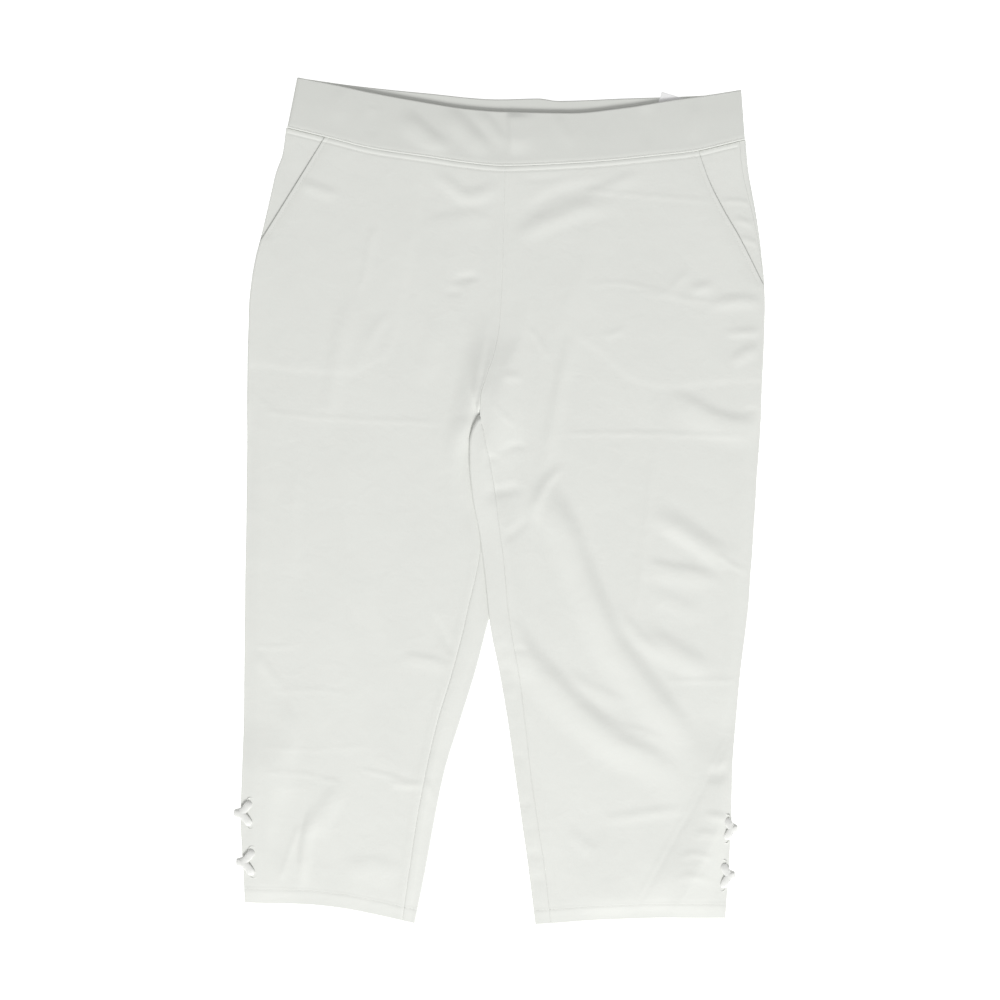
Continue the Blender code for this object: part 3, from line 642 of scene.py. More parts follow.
def top_height(side, x, y):
    """Middle of the cloth that lies on top: the front, and the back's turned part."""
    from_seam = np.abs(x - SEAM[side](y))
    over_bag = smooth((from_seam - BAG_RAISE_FROM[0]) / BAG_RAISE_OVER[0])
    over_bag = over_bag * smooth((y - BAG_RAISE_FROM[1]) / BAG_RAISE_OVER[1])
    waist = near_waist(x, y)
    air = loft(side, x, y)
    height = TOP_MID + BAG_RAISE * over_bag + LOFT * (1.0 - over_bag) * air
    height = height + bag_print(side, x, y)
    height = mix(height, FRONT_BAND_LOW_MID, waist)

    edge = smooth(np.abs(OUTER[side](y) - x) / FOLD_EDGE_FADE)
    below_waist = WAIST(x) - y
    fade = edge * smooth((below_waist - 4.0) / 20.0) * mix(0.4, 1.0, air)
    height = height + fade * fold_field(FOLDS[side], x, y)

    height = height + waist_relief(below_waist)
    seam = seam_profile(x - SEAM[side](y), y) * smooth((below_waist - 1.0) / 4.0)
    height = height + seam + hem_profile(side, x, y)
    stitched = smooth((y - pocket_end(side)) / 6.0)
    from_opening = opening_distance(side, x, y)
    height = height - 0.5 * STITCH_DIP * stitched * bump(from_opening - OPENING_STITCH, STITCH_DIP_WIDTH)
    height = height - OPENING_DROP * stitched * (1.0 - smooth(from_opening / OPENING_DROP_WIDTH))
    return height + lace_lift(side, x, y) + overlap_lift(side, x, y)


# ---------------------------------------------------------------- grids and shells

class Edge:
    """Path round a folded edge, one for each row: flat below, half a turn, flat on top."""

    def __init__(self, side, v, extreme, outward, bottom, top, thickness=CLOTH):
        self.side = side
        self.v = v
        self.outward = outward
        self.bottom = bottom
        self.top = top
        start = extreme - outward * 0.5 * thickness
        y = line_y(side, v, start)
        low = bottom(side, start, y)
        self.radius = np.maximum(0.5 * (top(side, start, y) - low), 0.4)
        self.x = start - outward * self.radius
        self.z = low + self.radius
        self.turn = np.pi * self.radius

    def points(self, distance):
        """Points at each row's distance from where the turn starts below."""
        angle = np.clip(distance / self.radius, 0.0, np.pi) - 0.5 * np.pi
        flat = np.maximum(-distance, 0.0) + np.maximum(distance - self.turn, 0.0)
        x = self.x + self.outward * (self.radius * np.cos(angle) - flat)
        y = line_y(self.side, self.v, x)
        z = self.z + self.radius * np.sin(angle)
        z = np.where(distance < 0.0, self.bottom(self.side, x, y), z)
        z = np.where(distance > self.turn, self.top(self.side, x, y), z)
        return np.stack([x, y, z], axis=-1)


def outer_edge(side, v, pocket=False):
    """Outer edge of rows, and how far round it the side seam lies."""
    extreme = meet(side, v, OUTER[side])
    y = line_y(side, v, extreme)
    top = pocket_height if pocket else top_height
    edge = Edge(side, v, extreme, SIDES[side], flat_back_height, top)
    wrap = LEFT_WRAP(y) if side == "left" else np.zeros_like(y)
    reach = edge.radius + 0.5 * CLOTH
    seam = np.where(wrap > reach, edge.turn + wrap - reach, 0.5 * edge.turn * (1.0 + wrap / reach))
    return edge, seam, y


def inner_edge(side, v):
    """Inner edge of leg rows, and how far round it the inseam lies."""
    seam_x = meet(side, v, SEAM[side])
    inward = -SIDES[side]
    extreme = meet(side, v, INNER[side])
    least = seam_x + inward * 1.8
    extreme = np.where((extreme - least) * inward < 0.0, least, extreme)
    edge = Edge(side, v, extreme, inward, flat_back_height, top_height)
    return edge, edge.turn + np.abs(edge.x - seam_x)


FINE = np.array([0.0, 0.1, 0.35, 0.8, 1.5, 2.2])
TURN_SHARES = np.array([0.0, 0.25, 0.5, 0.7, 0.85, 0.94, 1.0])


def spread(width, near, far, step):
    """Shares of a width: close together at both ends, even between them."""
    middle = np.linspace(near[-1], width - far[-1], int((width - near[-1] - far[-1]) / step) + 2)
    return np.concatenate([near, middle[1:-1], (width - np.array(far))[::-1]]) / width


def row_values(side, step, last=1.0):
    """Rows from the waist seam to the hem; one passes through the crotch."""
    near = np.concatenate([FINE, [3.0, 4.0, 4.8, 5.4, 6.0, 6.8, 8.0]])
    far = np.concatenate([FINE, [4.0, 7.0, 10.0, 12.5, 13.6, 14.2, 14.8, 15.6, 16.6, 17.8]])
    values = spread(ROWS_LENGTH, near, far, step)
    crotch = row_through(side, SEAM[side](CROTCH_Y), CROTCH_Y)
    values[np.argmin(np.abs(values - crotch))] = crotch
    return values[values <= last], crotch


def edge_distance(points, mask):
    """Distance of each grid point from the shell's edge, along rows and columns."""
    down = np.linalg.norm(np.diff(points, axis=0), axis=2) * (mask[1:] & mask[:-1])
    over = np.linalg.norm(np.diff(points, axis=1), axis=2) * (mask[:, 1:] & mask[:, :-1])
    rows, columns = mask.shape
    top = np.vstack([np.zeros((1, columns)), np.cumsum(down, axis=0)])
    bottom = np.vstack([np.cumsum(down[::-1], axis=0)[::-1], np.zeros((1, columns))])
    left = np.hstack([np.zeros((rows, 1)), np.cumsum(over, axis=1)])
    right = np.hstack([np.cumsum(over[:, ::-1], axis=1)[:, ::-1], np.zeros((rows, 1))])
    return np.minimum(np.minimum(top, bottom), np.minimum(left, right))


def link_mesh(name, points, faces, kind):
    mesh = bpy.data.meshes.new(name)
    mesh.from_pydata((points * MM).tolist(), [], faces)
    mesh.materials.append(MATERIALS[kind])
    mesh.polygons.foreach_set("use_smooth", np.ones(len(mesh.polygons), bool))
    mesh.update()
    made = bpy.data.objects.new(name, mesh)
    bpy.context.scene.collection.objects.link(made)
    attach(made, "root")
    return made


def grid_normals(points, cells):
    """Unit normal at each point, from the cells round it."""
    normals = np.zeros(points.shape)
    a, b, c, d = (points[cells[:, k]] for k in range(4))
    face = np.cross(c - a, d - b)
    for k in range(4):
        np.add.at(normals, cells[:, k], face)
    return normals / np.maximum(np.linalg.norm(normals, axis=1, keepdims=True), 1e-9)


def shell(name, grid, thickness, kind, mask=None):
    """Closed shell of cloth round a grid of middle points, with rounded edges."""
    if mask is None:
        mask = np.ones(grid.shape[:2], bool)
    index = np.full(mask.shape, -1)
    index[mask] = np.arange(mask.sum())
    points = grid[mask]
    full = mask[:-1, :-1] & mask[1:, :-1] & mask[:-1, 1:] & mask[1:, 1:]
    corners = (index[:-1, :-1], index[1:, :-1], index[1:, 1:], index[:-1, 1:])
    cells = np.stack([c[full] for c in corners], axis=1)
    normals = grid_normals(points, cells)
    half = 0.5 * np.broadcast_to(thickness, mask.shape)[mask]
    away = edge_distance(grid, mask)[mask] / half
    round_off = np.sqrt(np.clip(1.0 - (1.0 - np.clip(away, 0.0, 1.0)) ** 2, 0.25, 1.0))
    offset = normals * (half * round_off)[:, None]
    count = len(points)
    pairs = np.concatenate([cells[:, [k, (k + 1) % 4]] for k in range(4)])
    known = set(map(tuple, pairs.tolist()))
    rim = [(b, a, a + count, b + count) for a, b in known if (b, a) not in known]
    faces = cells.tolist() + (cells[:, ::-1] + count).tolist() + sorted(rim)
    return link_mesh(name, np.vstack([points + offset, points - offset]), faces, kind)


# ---------------------------------------------------------------- materials

def node(tree, kind, **inputs):
    made = tree.nodes.new("ShaderNode" + kind)
    for name, value in inputs.items():
        made.inputs[name.replace("_", " ")].default_value = value
    return made


def noise(tree, place, **inputs):
    made = node(tree, "TexNoise", **inputs)
    tree.links.new(place, made.inputs["Vector"])
    return made.outputs["Fac"]


def stripes(tree, place, direction, scale):
    made = node(tree, "TexWave", Scale=scale, Distortion=1.2, Detail=2.0)
    made.bands_direction = direction
    tree.links.new(place, made.inputs["Vector"])
    return made.outputs["Fac"]


def combine(tree, operation, a, b):
    made = node(tree, "Math")
    made.operation = operation
    tree.links.new(a, made.inputs[0])
    tree.links.new(b, made.inputs[1])
    return made.outputs[0]


def bumped(tree, height, distance):
    made = node(tree, "Bump", Distance=distance, Strength=1.0)
    tree.links.new(height, made.inputs["Height"])
    return made


# At a scale of 1, a wave texture's stripes are this far apart, in metres
WAVE_PITCH = 0.314


def fabric(name, colour, patch=0.02, weave=0.55, weave_depth=0.05, crumple=0.04, roughness=0.85):
    """Fine smooth knit: a close rib, a little unevenness, and slightly varied colour."""
    made = bpy.data.materials.new(name)
    made.use_nodes = True
    tree = made.node_tree
    link = tree.links.new
    shader = tree.nodes["Principled BSDF"]
    shader.inputs["Roughness"].default_value = roughness
    shader.inputs["Specular IOR Level"].default_value = 0.25
    shader.inputs["Sheen Weight"].default_value = 0.12
    shader.inputs["Sheen Roughness"].default_value = 0.5
    place = tree.nodes.new("ShaderNodeTexCoord").outputs["Object"]

    # colour: broad faint patches over the yarn's own variation
    broad = noise(tree, place, Scale=16.0, Detail=3.0, Roughness=0.5)
    yarn = noise(tree, place, Scale=900.0, Detail=2.0, Roughness=0.6)
    tone = node(tree, "MapRange", From_Min=0.6, From_Max=1.4)
    link(combine(tree, "ADD", broad, yarn), tone.inputs["Value"])
    paint = tree.nodes.new("ShaderNodeMix")
    paint.data_type = "RGBA"
    paint.inputs["A"].default_value = tuple(c * (1.0 - patch) for c in colour) + (1.0,)
    paint.inputs["B"].default_value = tuple(c * (1.0 + patch) for c in colour) + (1.0,)
    link(tone.outputs["Result"], paint.inputs["Factor"])
    link(paint.outputs["Result"], shader.inputs["Base Color"])

    # bump: knitted ribs along the legs, crossed by finer rows, over soft crumpling
    turned = node(tree, "Mapping", Scale=(1.0, 1.0, 0.0))
    link(place, turned.inputs["Vector"])
    flat = turned.outputs["Vector"]
    ribs = stripes(tree, flat, "X", WAVE_PITCH / (weave * MM) / 2.0)
    rows = stripes(tree, flat, "Y", WAVE_PITCH / (weave * MM) / 1.4)
    fine = bumped(tree, combine(tree, "MULTIPLY", ribs, rows), weave_depth * MM)
    mottle = noise(tree, flat, Scale=45.0, Detail=3.0, Roughness=0.55, Distortion=0.4)
    soft = bumped(tree, mottle, crumple * 10.0 * MM)
    link(fine.outputs["Normal"], soft.inputs["Normal"])
    link(soft.outputs["Normal"], shader.inputs["Normal"])
    return made


CLOTH_COLOUR = (0.715, 0.725, 0.690)
MATERIALS = {
    "cloth": fabric("off_white_knit", CLOTH_COLOUR),
    "inside": fabric("off_white_knit_wrong_side", tuple(0.97 * c for c in CLOTH_COLOUR)),
    "band": fabric("off_white_band", (0.655, 0.665, 0.632), crumple=0.02),
    "thread": fabric("off_white_thread", (0.76, 0.765, 0.73), weave=0.25, crumple=0.0),
    "lace": fabric("white_cord", (0.74, 0.745, 0.72), weave=0.45, weave_depth=0.12, crumple=0.01),
    "label": fabric("white_label", (0.86, 0.86, 0.86), weave=0.2, crumple=0.01, roughness=0.6),
}
SLOTS = {kind: kind for kind in MATERIALS}
SLOTS["inside"] = "cloth"
SLOTS["thread"] = "cloth"


# ---------------------------------------------------------------- trouser pieces

def place_columns(seam_x, last_x, shares):
    return seam_x[:, None] + (last_x - seam_x)[:, None] * shares[None, :]


def below_pocket(side, y):
    """0 beside the pocket opening and 1 below it, for each row of points."""
    return smooth((pocket_end(side) + 4.0 - y) / 12.0)[:, None, None]


def surface_points(side, v, x, height):
    y = line_y(side, v[:, None], x)
    return np.stack([x, y, height(side, x, y)], axis=-1)


def turn_to_seam(edge, seam):
    """Last columns of a top piece, from the flat down to the side seam."""
    end = seam + 0.5 * SEAM_GAP
    lead = np.where(end < edge.turn, edge.turn, end + 2.0)
    return np.stack([edge.points(mix(lead, end, t)) for t in TURN_SHARES], axis=1)


def front_panel(side):
    v, _ = row_values(side, FRONT_STEP)
    outward = SIDES[side]
    seam_x = meet(side, v, SEAM[side]) + outward * 0.5 * SEAM_GAP
    edge, seam, y_edge = outer_edge(side, v)
    turned = turn_to_seam(edge, seam)
    limit = meet(side, v, OPENING[side])
    free_x = limit[:, None] - outward * 3.0 * (1.0 - TURN_SHARES[None, :])
    free = surface_points(side, v, free_x, top_height)
    closed = below_pocket(side, y_edge)
    ends = mix(free, turned, closed)
    near = np.concatenate([FINE, [3.0, 4.5, 6.5, 9.0, 11.0]])
    far = np.array([0.4, 1.0, 1.6, 2.4, 3.6, 5.5, 8.0, 11.0])
    shares = spread(LEG_WIDTH, near, far, FRONT_STEP)
    main = surface_points(side, v, place_columns(seam_x, ends[:, 0, 0], shares), top_height)
    made = shell("front_%s_cloth" % side, np.concatenate([main, ends], axis=1), CLOTH, "cloth")
    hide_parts("front_" + side)
    return made


def back_panel(side):
    v, crotch = row_values(side, BACK_STEP)
    outward = SIDES[side]
    edge, seam, _ = outer_edge(side, v)
    pocket_edge, pocket_seam, y_edge = outer_edge(side, v, pocket=True)
    seam_x = meet(side, v, SEAM[side]) + outward * 0.5 * SEAM_GAP
    shares = spread(LEG_WIDTH, FINE, np.array([0.5, 3.0, 7.0]), BACK_STEP)
    main = surface_points(side, v, place_columns(seam_x, edge.points(0.0 * v)[:, 0], shares), back_height)
    tail = np.array([0.0, 0.2, 0.4, 0.6, 0.78, 0.9, 0.97, 1.0])
    turned = np.stack([edge.points(t * (seam - 0.5 * SEAM_GAP)) for t in tail], axis=1)
    other = np.stack([pocket_edge.points(t * (pocket_seam - 0.5 * SEAM_GAP)) for t in tail], axis=1)
    closed = below_pocket(side, y_edge)
    main[:, -1, :] = 0.5 * (main[:, -2, :] + mix(other, turned, closed)[:, 0, :])
    main = np.concatenate([main, mix(other, turned, closed)], axis=1)

    inner, inseam = inner_edge(side, v)
    start = inner.points(0.0 * v)[:, 0]
    flat_x = seam_x[:, None] + (start - seam_x)[:, None] * np.array([0.33, 0.66])[None, :]
    flat = surface_points(side, v, flat_x, back_height)
    round_it = np.stack([inner.points(inner.turn * t) for t in np.linspace(0.0, 1.0, 8)], axis=1)
    top_end = inseam - 0.5 * SEAM_GAP
    shares = spread(20.0, np.array([0.0, 0.5]), FINE, 2.0)[1:]
    flap = np.stack([inner.points(mix(inner.turn, top_end, t)) for t in shares], axis=1)
    tongue = np.concatenate([flat, round_it, flap], axis=1)[:, ::-1]
    grid = np.concatenate([tongue, main], axis=1)
    mask = np.ones(grid.shape[:2], bool)
    mask[v < crotch - 1e-9, :tongue.shape[1]] = False
    made = shell("back_%s_cloth" % side, grid, CLOTH, "cloth", mask)
    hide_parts("back_" + side)
    return made


def under_x(side, v):
    """Inner edge of the side panel, hidden under the front."""
    return meet(side, v, OPENING[side]) - SIDES[side] * PANEL_UNDER


def pocket_rows(side, step):
    v, _ = row_values(side, step)
    return v[outer_edge(side, v, pocket=True)[2] > pocket_end(side) - 3.0]


SIDE_PANEL_FOLDS = {
    "right": (),
    "left": (
        ("crease", 0.45, 3, 4, (228, 310), (245, 311), (262, 308)),
        ("soft", 0.5, 5, 6, (240, 292), (252, 290), (266, 284)),
        ("soft", 0.5, 5, 6, (247, 272), (258, 270), (272, 264)),
    ),
}


def side_panel_height(side, x, y):
    below = WAIST(x) - y
    return pocket_height(side, x, y) + fold_field(SIDE_PANEL_FOLDS[side], x, y) + waist_relief(below)


def side_panel(side):
    """Hip piece that shows in the slanted pocket opening."""
    v = pocket_rows(side, 2.6)
    edge, seam, _ = outer_edge(side, v, pocket=True)
    turned = turn_to_seam(edge, seam)
    shares = spread(60.0, FINE, np.array([0.8, 2.0]), 2.6)
    first = under_x(side, v) + SIDES[side] * 0.5 * SEAM_GAP
    main = surface_points(side, v, place_columns(first, turned[:, 0, 0], shares), side_panel_height)
    made = shell("side_panel_%s_cloth" % side, np.concatenate([main, turned], axis=1), CLOTH, "cloth")
    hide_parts("side_panel_" + side)
    return made


def pocket_bag(side):
    """Pocket bag between the front and the back, sewn to the side panel."""
    outward = SIDES[side]
    lowest = row_through(side, BAG_BOTTOM_OUTER[side], BAGS[side][0][0])
    v, _ = row_values(side, 4.0, lowest)
    v = np.append(v[v < lowest - 0.001], lowest)
    inner = meet(side, v, BAG[side])
    y_edge = line_y(side, v, meet(side, v, OUTER[side]))
    sewn = under_x(side, v) - outward * 0.5 * SEAM_GAP
    free = meet(side, v, OUTER[side]) - outward * BAG_EDGE_INSET
    corner = 1.0 - np.sqrt(np.clip(1.0 - np.clip((v - lowest) / 0.03 + 1.0, 0.0, 1.0) ** 2, 0.0, 1.0))
    free = free - outward * 14.0 * corner
    outer = np.where(y_edge > pocket_end(side), sewn, free)
    shares = spread(120.0, FINE, FINE, 5.0)
    grid = surface_points(side, v, place_columns(inner, outer, shares), pocket_height)
    made = shell("pocket_bag_%s_cloth" % side, grid, BAG_CLOTH, "inside")
    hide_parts("pocket_bag_" + side)
    return made


# ---------------------------------------------------------------- waistband and label

def band_height(which, v):
    if which == "back":
        return np.full(np.shape(v), BACK_BAND_MID)
    return FRONT_BAND_LOW_MID + FRONT_BAND_RISE * smooth(v / 0.6)


def band_y(which, v, x):
    return mix(WAIST(x) + 0.5 * WAIST_GAP, BAND_TOP[which](x), v)


# Tacks in the front band: x, y, width, and how deep and high they pull it in
TACKS = ((-132.0, 410.0, 13.0), (124.0, 393.5, 8.0), (149.0, 399.5, 9.0))
TACK_DEPTH = 0.35
TACK_HEIGHT = 1.6


def band_relief(which, x, y):
    """Folds, edge stitching and tacks of the front band; the back one is plain."""
    above = y - WAIST(x)
    if which == "back":
        return np.zeros(x.shape)
    folds = fold_field(BAND_FOLDS, x, y) * smooth((above - 2.0) / 12.0)
    below_top = BAND_TOP["front"](x) - y
    folds = folds * smooth(below_top / 6.0)
    tacks = sum(bump(y - ty, TACK_HEIGHT) * bump(x - tx, 0.5 * width) for tx, ty, width in TACKS)
    return folds - STITCH_DIP * bump(above - BAND_STITCH, STITCH_DIP_WIDTH) - TACK_DEPTH * tacks


def waistband(which):
    """Half of the doubled band; its ends turn to meet the other half."""
    rim = np.array([0.0, 0.04, 0.15, 0.35, 0.65, 1.0, 1.4])
    v = spread(54.0, np.append(rim, [1.9, 2.3, 2.8, 3.6]), np.append(rim, 2.0), 2.6)
    upward = 1.0 if which == "back" else -1.0
    radius = 0.5 * (band_height("front", v) - band_height("back", v))
    left = mix(BAND_ENDS["low"][0], BAND_ENDS["high"][0], v) + 0.5 * BAND_CLOTH + radius
    right = mix(BAND_ENDS["low"][1], BAND_ENDS["high"][1], v) - 0.5 * BAND_CLOTH - radius
    x = place_columns(left, right, np.linspace(0.0, 1.0, 180))
    y = band_y(which, v[:, None], x)
    z = band_height(which, v)[:, None] + band_relief(which, x, y)
    flat = np.stack([x, y, z], axis=-1)
    angles = 0.5 * np.pi - 0.5 * SEAM_GAP / (radius - 0.5 * BAND_CLOTH)
    ends = {}
    for outward, start in ((-1.0, left), (1.0, right)):
        ring = []
        for share in (1.0, 0.97, 0.9, 0.75, 0.5, 0.25):
            angle = angles * share
            px = start + outward * radius * np.sin(angle)
            pz = band_height(which, v) + upward * radius * (1.0 - np.cos(angle))
            ring.append(np.stack([px, band_y(which, v, px), pz], axis=-1))
        ends[outward] = np.stack(ring, axis=1)
    grid = np.concatenate([ends[-1.0], flat, ends[1.0][:, ::-1]], axis=1)
    made = shell("waistband_%s_cloth" % which, grid, BAND_CLOTH, "band")
    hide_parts("waistband_" + which)
    return made


LABEL_CORNER = (168.0, 424.5)
LABEL_SIZE = (30.0, 12.0)
LABEL_TILT = math.radians(-17.7)
LABEL_RIM = np.array([0.0, 0.1, 0.3, 1.0])


def label():
    """Blank label inside the back band; one corner stands above its edge."""
    across = np.array([math.cos(LABEL_TILT), math.sin(LABEL_TILT)])
    down = np.array([across[1], -across[0]])
    s, t = np.meshgrid(*(spread(size, LABEL_RIM, LABEL_RIM, 1.5) for size in LABEL_SIZE))
    xy = (np.array(LABEL_CORNER) + (s * LABEL_SIZE[0])[..., None] * across
          + (t * LABEL_SIZE[1])[..., None] * down)
    z = BAND_CLOTH + 0.5 * LABEL_CLOTH + 0.12 + 0.35 * np.sin(np.pi * s) * (1.0 - t)
    made = shell("label_blank", np.concatenate([xy, z[..., None]], axis=-1), LABEL_CLOTH, "label")
    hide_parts("label")
    return made


# ---------------------------------------------------------------- lacing and eyelets

LACE_WIDTH = 8.0
LACE_THICK = 2.4
LACE_PRESS = 0.3
LACE_SLACK = 3.4
LACE_OVER = 1.6
LACE_PLUNGE = 0.9
EYELET_RADIUS = 3.5
EYELET_THREAD = 0.32


def lace_path(side, upper, lower, inset, crossing):
    """Points and outward directions of one strand, from the top eyelet round the edge."""
    middle_y = 0.5 * (upper + lower)
    outward = SIDES[side]
    extreme = float(OUTER[side](middle_y))
    probe = np.array([extreme - outward * inset])
    at = np.array([middle_y])
    low = float(flat_back_height(side, probe, at)[0]) - 0.5 * CLOTH
    high = float(top_height(side, probe, at)[0]) + 0.5 * CLOTH
    half_stack = 0.5 * (high - low)
    centre_x = extreme - outward * half_stack
    centre_z = 0.5 * (high + low)
    radius = half_stack - LACE_PRESS + 0.5 * LACE_THICK
    run = max(2.0, inset - half_stack)
    turn = math.pi * radius
    total = 2.0 * run + turn
    points, normals = [], []
    for s in np.linspace(0.0, total, 34):
        angle = min(math.pi, max(0.0, (s - run) / radius)) - 0.5 * math.pi
        flat = max(0.0, run - s) + max(0.0, s - run - turn)
        normal = np.array([outward * math.cos(angle), 0.0, -math.sin(angle)])
        sunk = LACE_PLUNGE * float(1.0 - smooth(min(s, total - s) / 3.0))
        loose = (LACE_SLACK + crossing) * math.cos(angle) ** 1.5
        x = centre_x - outward * flat + normal[0] * (radius - sunk) + outward * loose
        half = 2.0 * s / total - 1.0
        share = 0.5 + 0.5 * math.copysign(abs(half) ** 1.8, half)
        points.append((x, mix(upper, lower, share), centre_z + normal[2] * (radius - sunk)))
        normals.append(normal)
    return np.array(points), np.array(normals)


def ring_faces(rings, sides, closed=False):
    """Faces between rings of points in a row, or in a loop if closed."""
    faces = []
    for i in range(rings if closed else rings - 1):
        for j in range(sides):
            a, b, k = i * sides, (i + 1) % rings * sides, (j + 1) % sides
            faces.append((a + j, a + k, b + k, b + j))
    return faces


def tube(points, normals, width, thick, sides=18):
    """Oval cord along points, rounded at both ends, its flat side facing the cloth."""
    count = len(points)
    tangent = np.gradient(points, axis=0)
    tangent /= np.linalg.norm(tangent, axis=1, keepdims=True)
    sideways = np.cross(tangent, normals)
    sideways /= np.linalg.norm(sideways, axis=1, keepdims=True)
    up = np.cross(sideways, tangent)
    run = np.concatenate([[0.0], np.cumsum(np.linalg.norm(np.diff(points, axis=0), axis=1))])
    from_end = np.minimum(run, run[-1] - run) / (0.5 * width)
    size = np.sqrt(np.clip(1.0 - (1.0 - np.clip(from_end, 0.0, 1.0)) ** 2, 0.03, 1.0))
    angle = 2.0 * np.pi * np.arange(sides) / sides
    ring = (sideways[:, None] * (0.5 * width * np.cos(angle))[None, :, None]
            + up[:, None] * (0.5 * thick * np.sin(angle))[None, :, None])
    vertices = (points[:, None] + ring * size[:, None, None]).reshape(-1, 3)
    faces = ring_faces(count, sides)
    faces.append(tuple(range(sides))[::-1])
    faces.append(tuple((count - 1) * sides + j for j in range(sides)))
    return vertices, faces


def join(parts):
    """One vertex array and face list from several."""
    vertices, faces, start = [], [], 0
    for points, polygons in parts:
        vertices.append(points)
        faces += [tuple(k + start for k in face) for face in polygons]
        start += len(points)
    return np.vstack(vertices), faces


def eyelet(centre, facing):
    """Worked eyelet: a ring of thread with a small bead for each stitch."""
    around, across = 72, 8
    a = 2.0 * np.pi * np.arange(around) / around
    b = 2.0 * np.pi * np.arange(across) / across
    a, b = np.meshgrid(a, b, indexing="ij")
    beads = 1.0 + 0.22 * np.cos(18.0 * a)
    r = EYELET_RADIUS + 1.35 * EYELET_THREAD * beads * np.cos(b)
    z = facing * EYELET_THREAD * beads * np.sin(b)
    ring = np.stack([centre[0] + r * np.cos(a), centre[1] + r * np.sin(a), centre[2] + z], axis=-1)
    faces = [face[::-1] for face in ring_faces(around, across, closed=True)]
    return ring.reshape(-1, 3), faces


def laces():
    for side in SIDES:
        rings = []
        for number, (upper, lower, inset) in enumerate(LACES[side], 1):
            under = tube(*lace_path(side, upper, lower, inset, 0.0), LACE_WIDTH, LACE_THICK)
            over = tube(*lace_path(side, lower, upper, inset, LACE_OVER), LACE_WIDTH, LACE_THICK)
            points, faces = join([under, over])
            made = link_mesh("lace_%s_%d_cord" % (side, number), points, faces, "lace")
            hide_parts("lace_%s_%d" % (side, number))
            for at in (upper, lower):
                x = np.array([float(OUTER[side](at)) - SIDES[side] * inset])
                y = np.array([at])
                rings.append(eyelet((x[0], at, top_height(side, x, y)[0] + 0.5), 1.0))
                rings.append(eyelet((x[0], at, flat_back_height(side, x, y)[0] - 0.5), -1.0))
        link_mesh("eyelets_" + side, *join(rings), "thread")


# ---------------------------------------------------------------- stitching

def stitches(name, line, normal=(0.0, 0.0, 1.0), sides=6):
    """Row of single stitches lying along a line of surface points."""
    run = np.concatenate([[0.0], np.cumsum(np.linalg.norm(np.diff(line, axis=0), axis=1))])
    starts = np.arange(0.3, run[-1] - STITCH_LENGTH, STITCH_PITCH)
    profile = ((0.0, 0.25, -0.10), (0.18, 0.8, 0.05), (0.5, 1.0, 0.14), (0.82, 0.8, 0.05), (1.0, 0.25, -0.10))
    up = np.array(normal)
    parts = []
    for start in starts:
        rings = []
        a = np.array([np.interp(start, run, line[:, k]) for k in range(3)])
        b = np.array([np.interp(start + STITCH_LENGTH, run, line[:, k]) for k in range(3)])
        along = (b - a) / np.linalg.norm(b - a)
        sideways = np.cross(along, up)
        sideways /= np.linalg.norm(sideways)
        for share, size, rise in profile:
            for j in range(sides):
                angle = 2.0 * math.pi * j / sides
                rings.append(mix(a, b, share) + up * rise + 0.5 * THREAD * size
                             * (sideways * math.cos(angle) + up * math.sin(angle)))
        parts.append((np.array(rings), ring_faces(len(profile), sides)))
    points, faces = join(parts)
    return link_mesh(name, points, faces, "thread")


def on_top(side, x, y, lift=0.5 * CLOTH):
    return np.stack([x, y, top_height(side, x, y) + lift], axis=-1)


# From where to where along x the stitching below the waist seam runs
WAIST_STITCHES = {"right": (-180.0, 4.5), "left": (5.5, 205.0)}


def stitching():
    for side in SIDES:
        ys = np.arange(pocket_end(side) + 4.0, OPENINGS[side][-1][0] - 3.0, 1.0)
        tilt = OPENING[side].tilt(ys)
        x = OPENING[side](ys) - SIDES[side] * OPENING_STITCH * np.sqrt(1.0 + tilt * tilt)
        stitches("pocket_stitching_" + side, on_top(side, x, ys))
        low, high = sorted((INNER[side](HEM_ROW), OUTER[side](HEM_ROW)))
        x = np.arange(low + 1.5, high - 1.5, 1.0)
        stitches("hem_stitching_" + side, on_top(side, x, HEM[side](x) + HEM_DEPTH - 1.5))
    for side, (low, high) in WAIST_STITCHES.items():
        x = np.arange(low, high, 1.0)
        stitches("waist_stitching_" + side, on_top(side, x, WAIST(x) - WAIST_STITCH))
    x = np.arange(-217.0, 250.0, 1.0)
    y = WAIST(x) + BAND_STITCH
    z = FRONT_BAND_LOW_MID + band_relief("front", x, y) + 0.5 * BAND_CLOTH
    stitches("band_stitching", np.stack([x, y, z], axis=-1))


# ---------------------------------------------------------------- the object

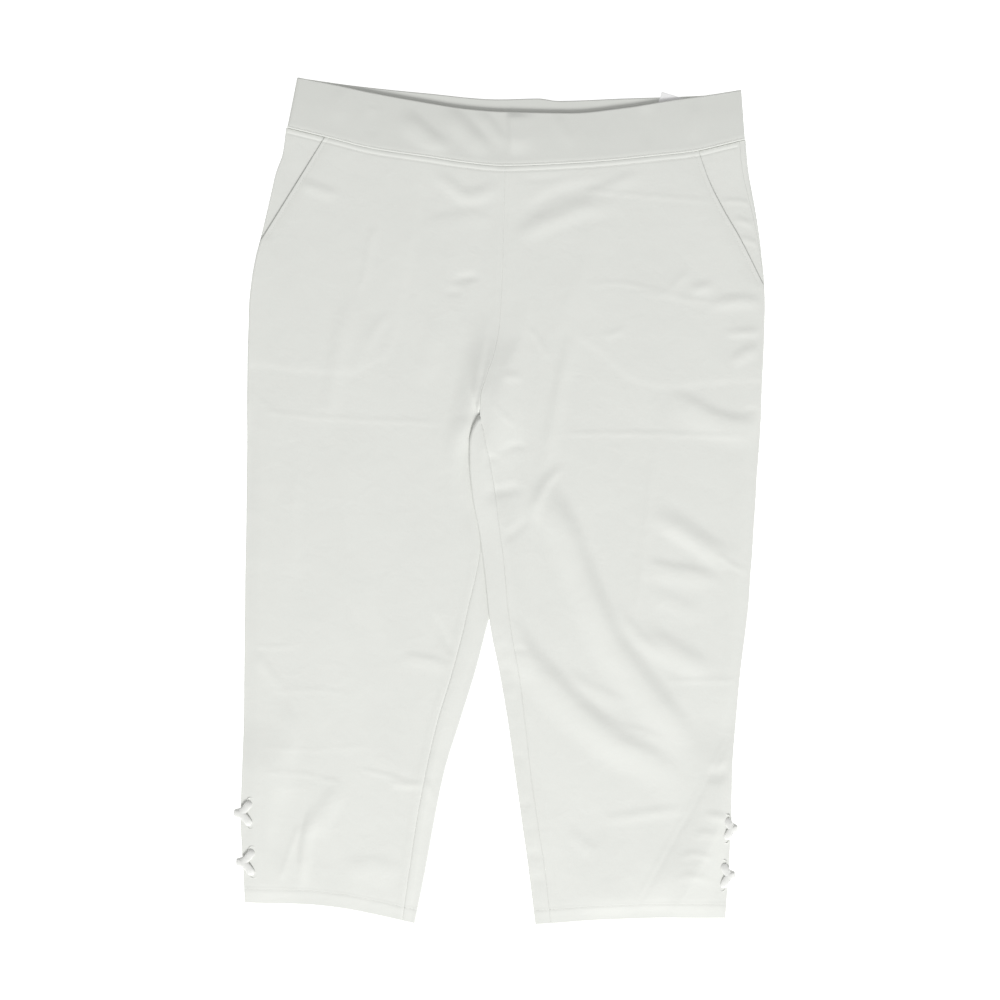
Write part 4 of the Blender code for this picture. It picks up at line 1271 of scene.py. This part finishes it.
for side in SIDES:
    back_panel(side)
    front_panel(side)
    side_panel(side)
    pocket_bag(side)
waistband("back")
waistband("front")
label()
laces()
stitching()


# ---------------------------------------------------------------- floor, light and camera

VIEW_WIDTH = 1.04
CAMERA_LENS = 85.0
CAMERA_SENSOR = 36.0


def white_floor():
    mesh = bpy.data.meshes.new("floor")
    r = 6.0
    mesh.from_pydata([(-r, -r, 0.0), (r, -r, 0.0), (r, r, 0.0), (-r, r, 0.0)], [], [(0, 1, 2, 3)])
    made = bpy.data.objects.new("floor", mesh)
    bpy.context.scene.collection.objects.link(made)
    paint = bpy.data.materials.new("white_floor")
    paint.use_nodes = True
    shader = paint.node_tree.nodes["Principled BSDF"]
    shader.inputs["Base Color"].default_value = (0.92, 0.92, 0.92, 1.0)
    shader.inputs["Roughness"].default_value = 0.9
    shader.inputs["Emission Color"].default_value = (1.0, 1.0, 1.0, 1.0)
    shader.inputs["Emission Strength"].default_value = 0.6
    mesh.materials.append(paint)


def area_light(name, place, size, power):
    data = bpy.data.lights.new(name, "AREA")
    data.shape = "SQUARE"
    data.size = size
    data.energy = power
    made = bpy.data.objects.new(name, data)
    made.location = place
    made.rotation_euler = Vector((-place[0], -place[1], -place[2])).to_track_quat("-Z", "Y").to_euler()
    bpy.context.scene.collection.objects.link(made)


def studio():
    world = bpy.data.worlds.new("studio")
    world.use_nodes = True
    world.node_tree.nodes["Background"].inputs["Color"].default_value = (1.0, 1.0, 1.0, 1.0)
    world.node_tree.nodes["Background"].inputs["Strength"].default_value = 0.54
    bpy.context.scene.world = world
    area_light("key", (0.6, -5.25, 3.4), 1.9, 392.0)


def camera():
    data = bpy.data.cameras.new("camera")
    data.lens = CAMERA_LENS
    data.sensor_width = CAMERA_SENSOR
    made = bpy.data.objects.new("camera", data)
    made.location = (0.0, 0.0002, VIEW_WIDTH * CAMERA_LENS / CAMERA_SENSOR)
    bpy.context.scene.collection.objects.link(made)
    bpy.context.scene.camera = made


white_floor()
studio()
camera()
bpy.context.scene.view_settings.view_transform = "Standard"
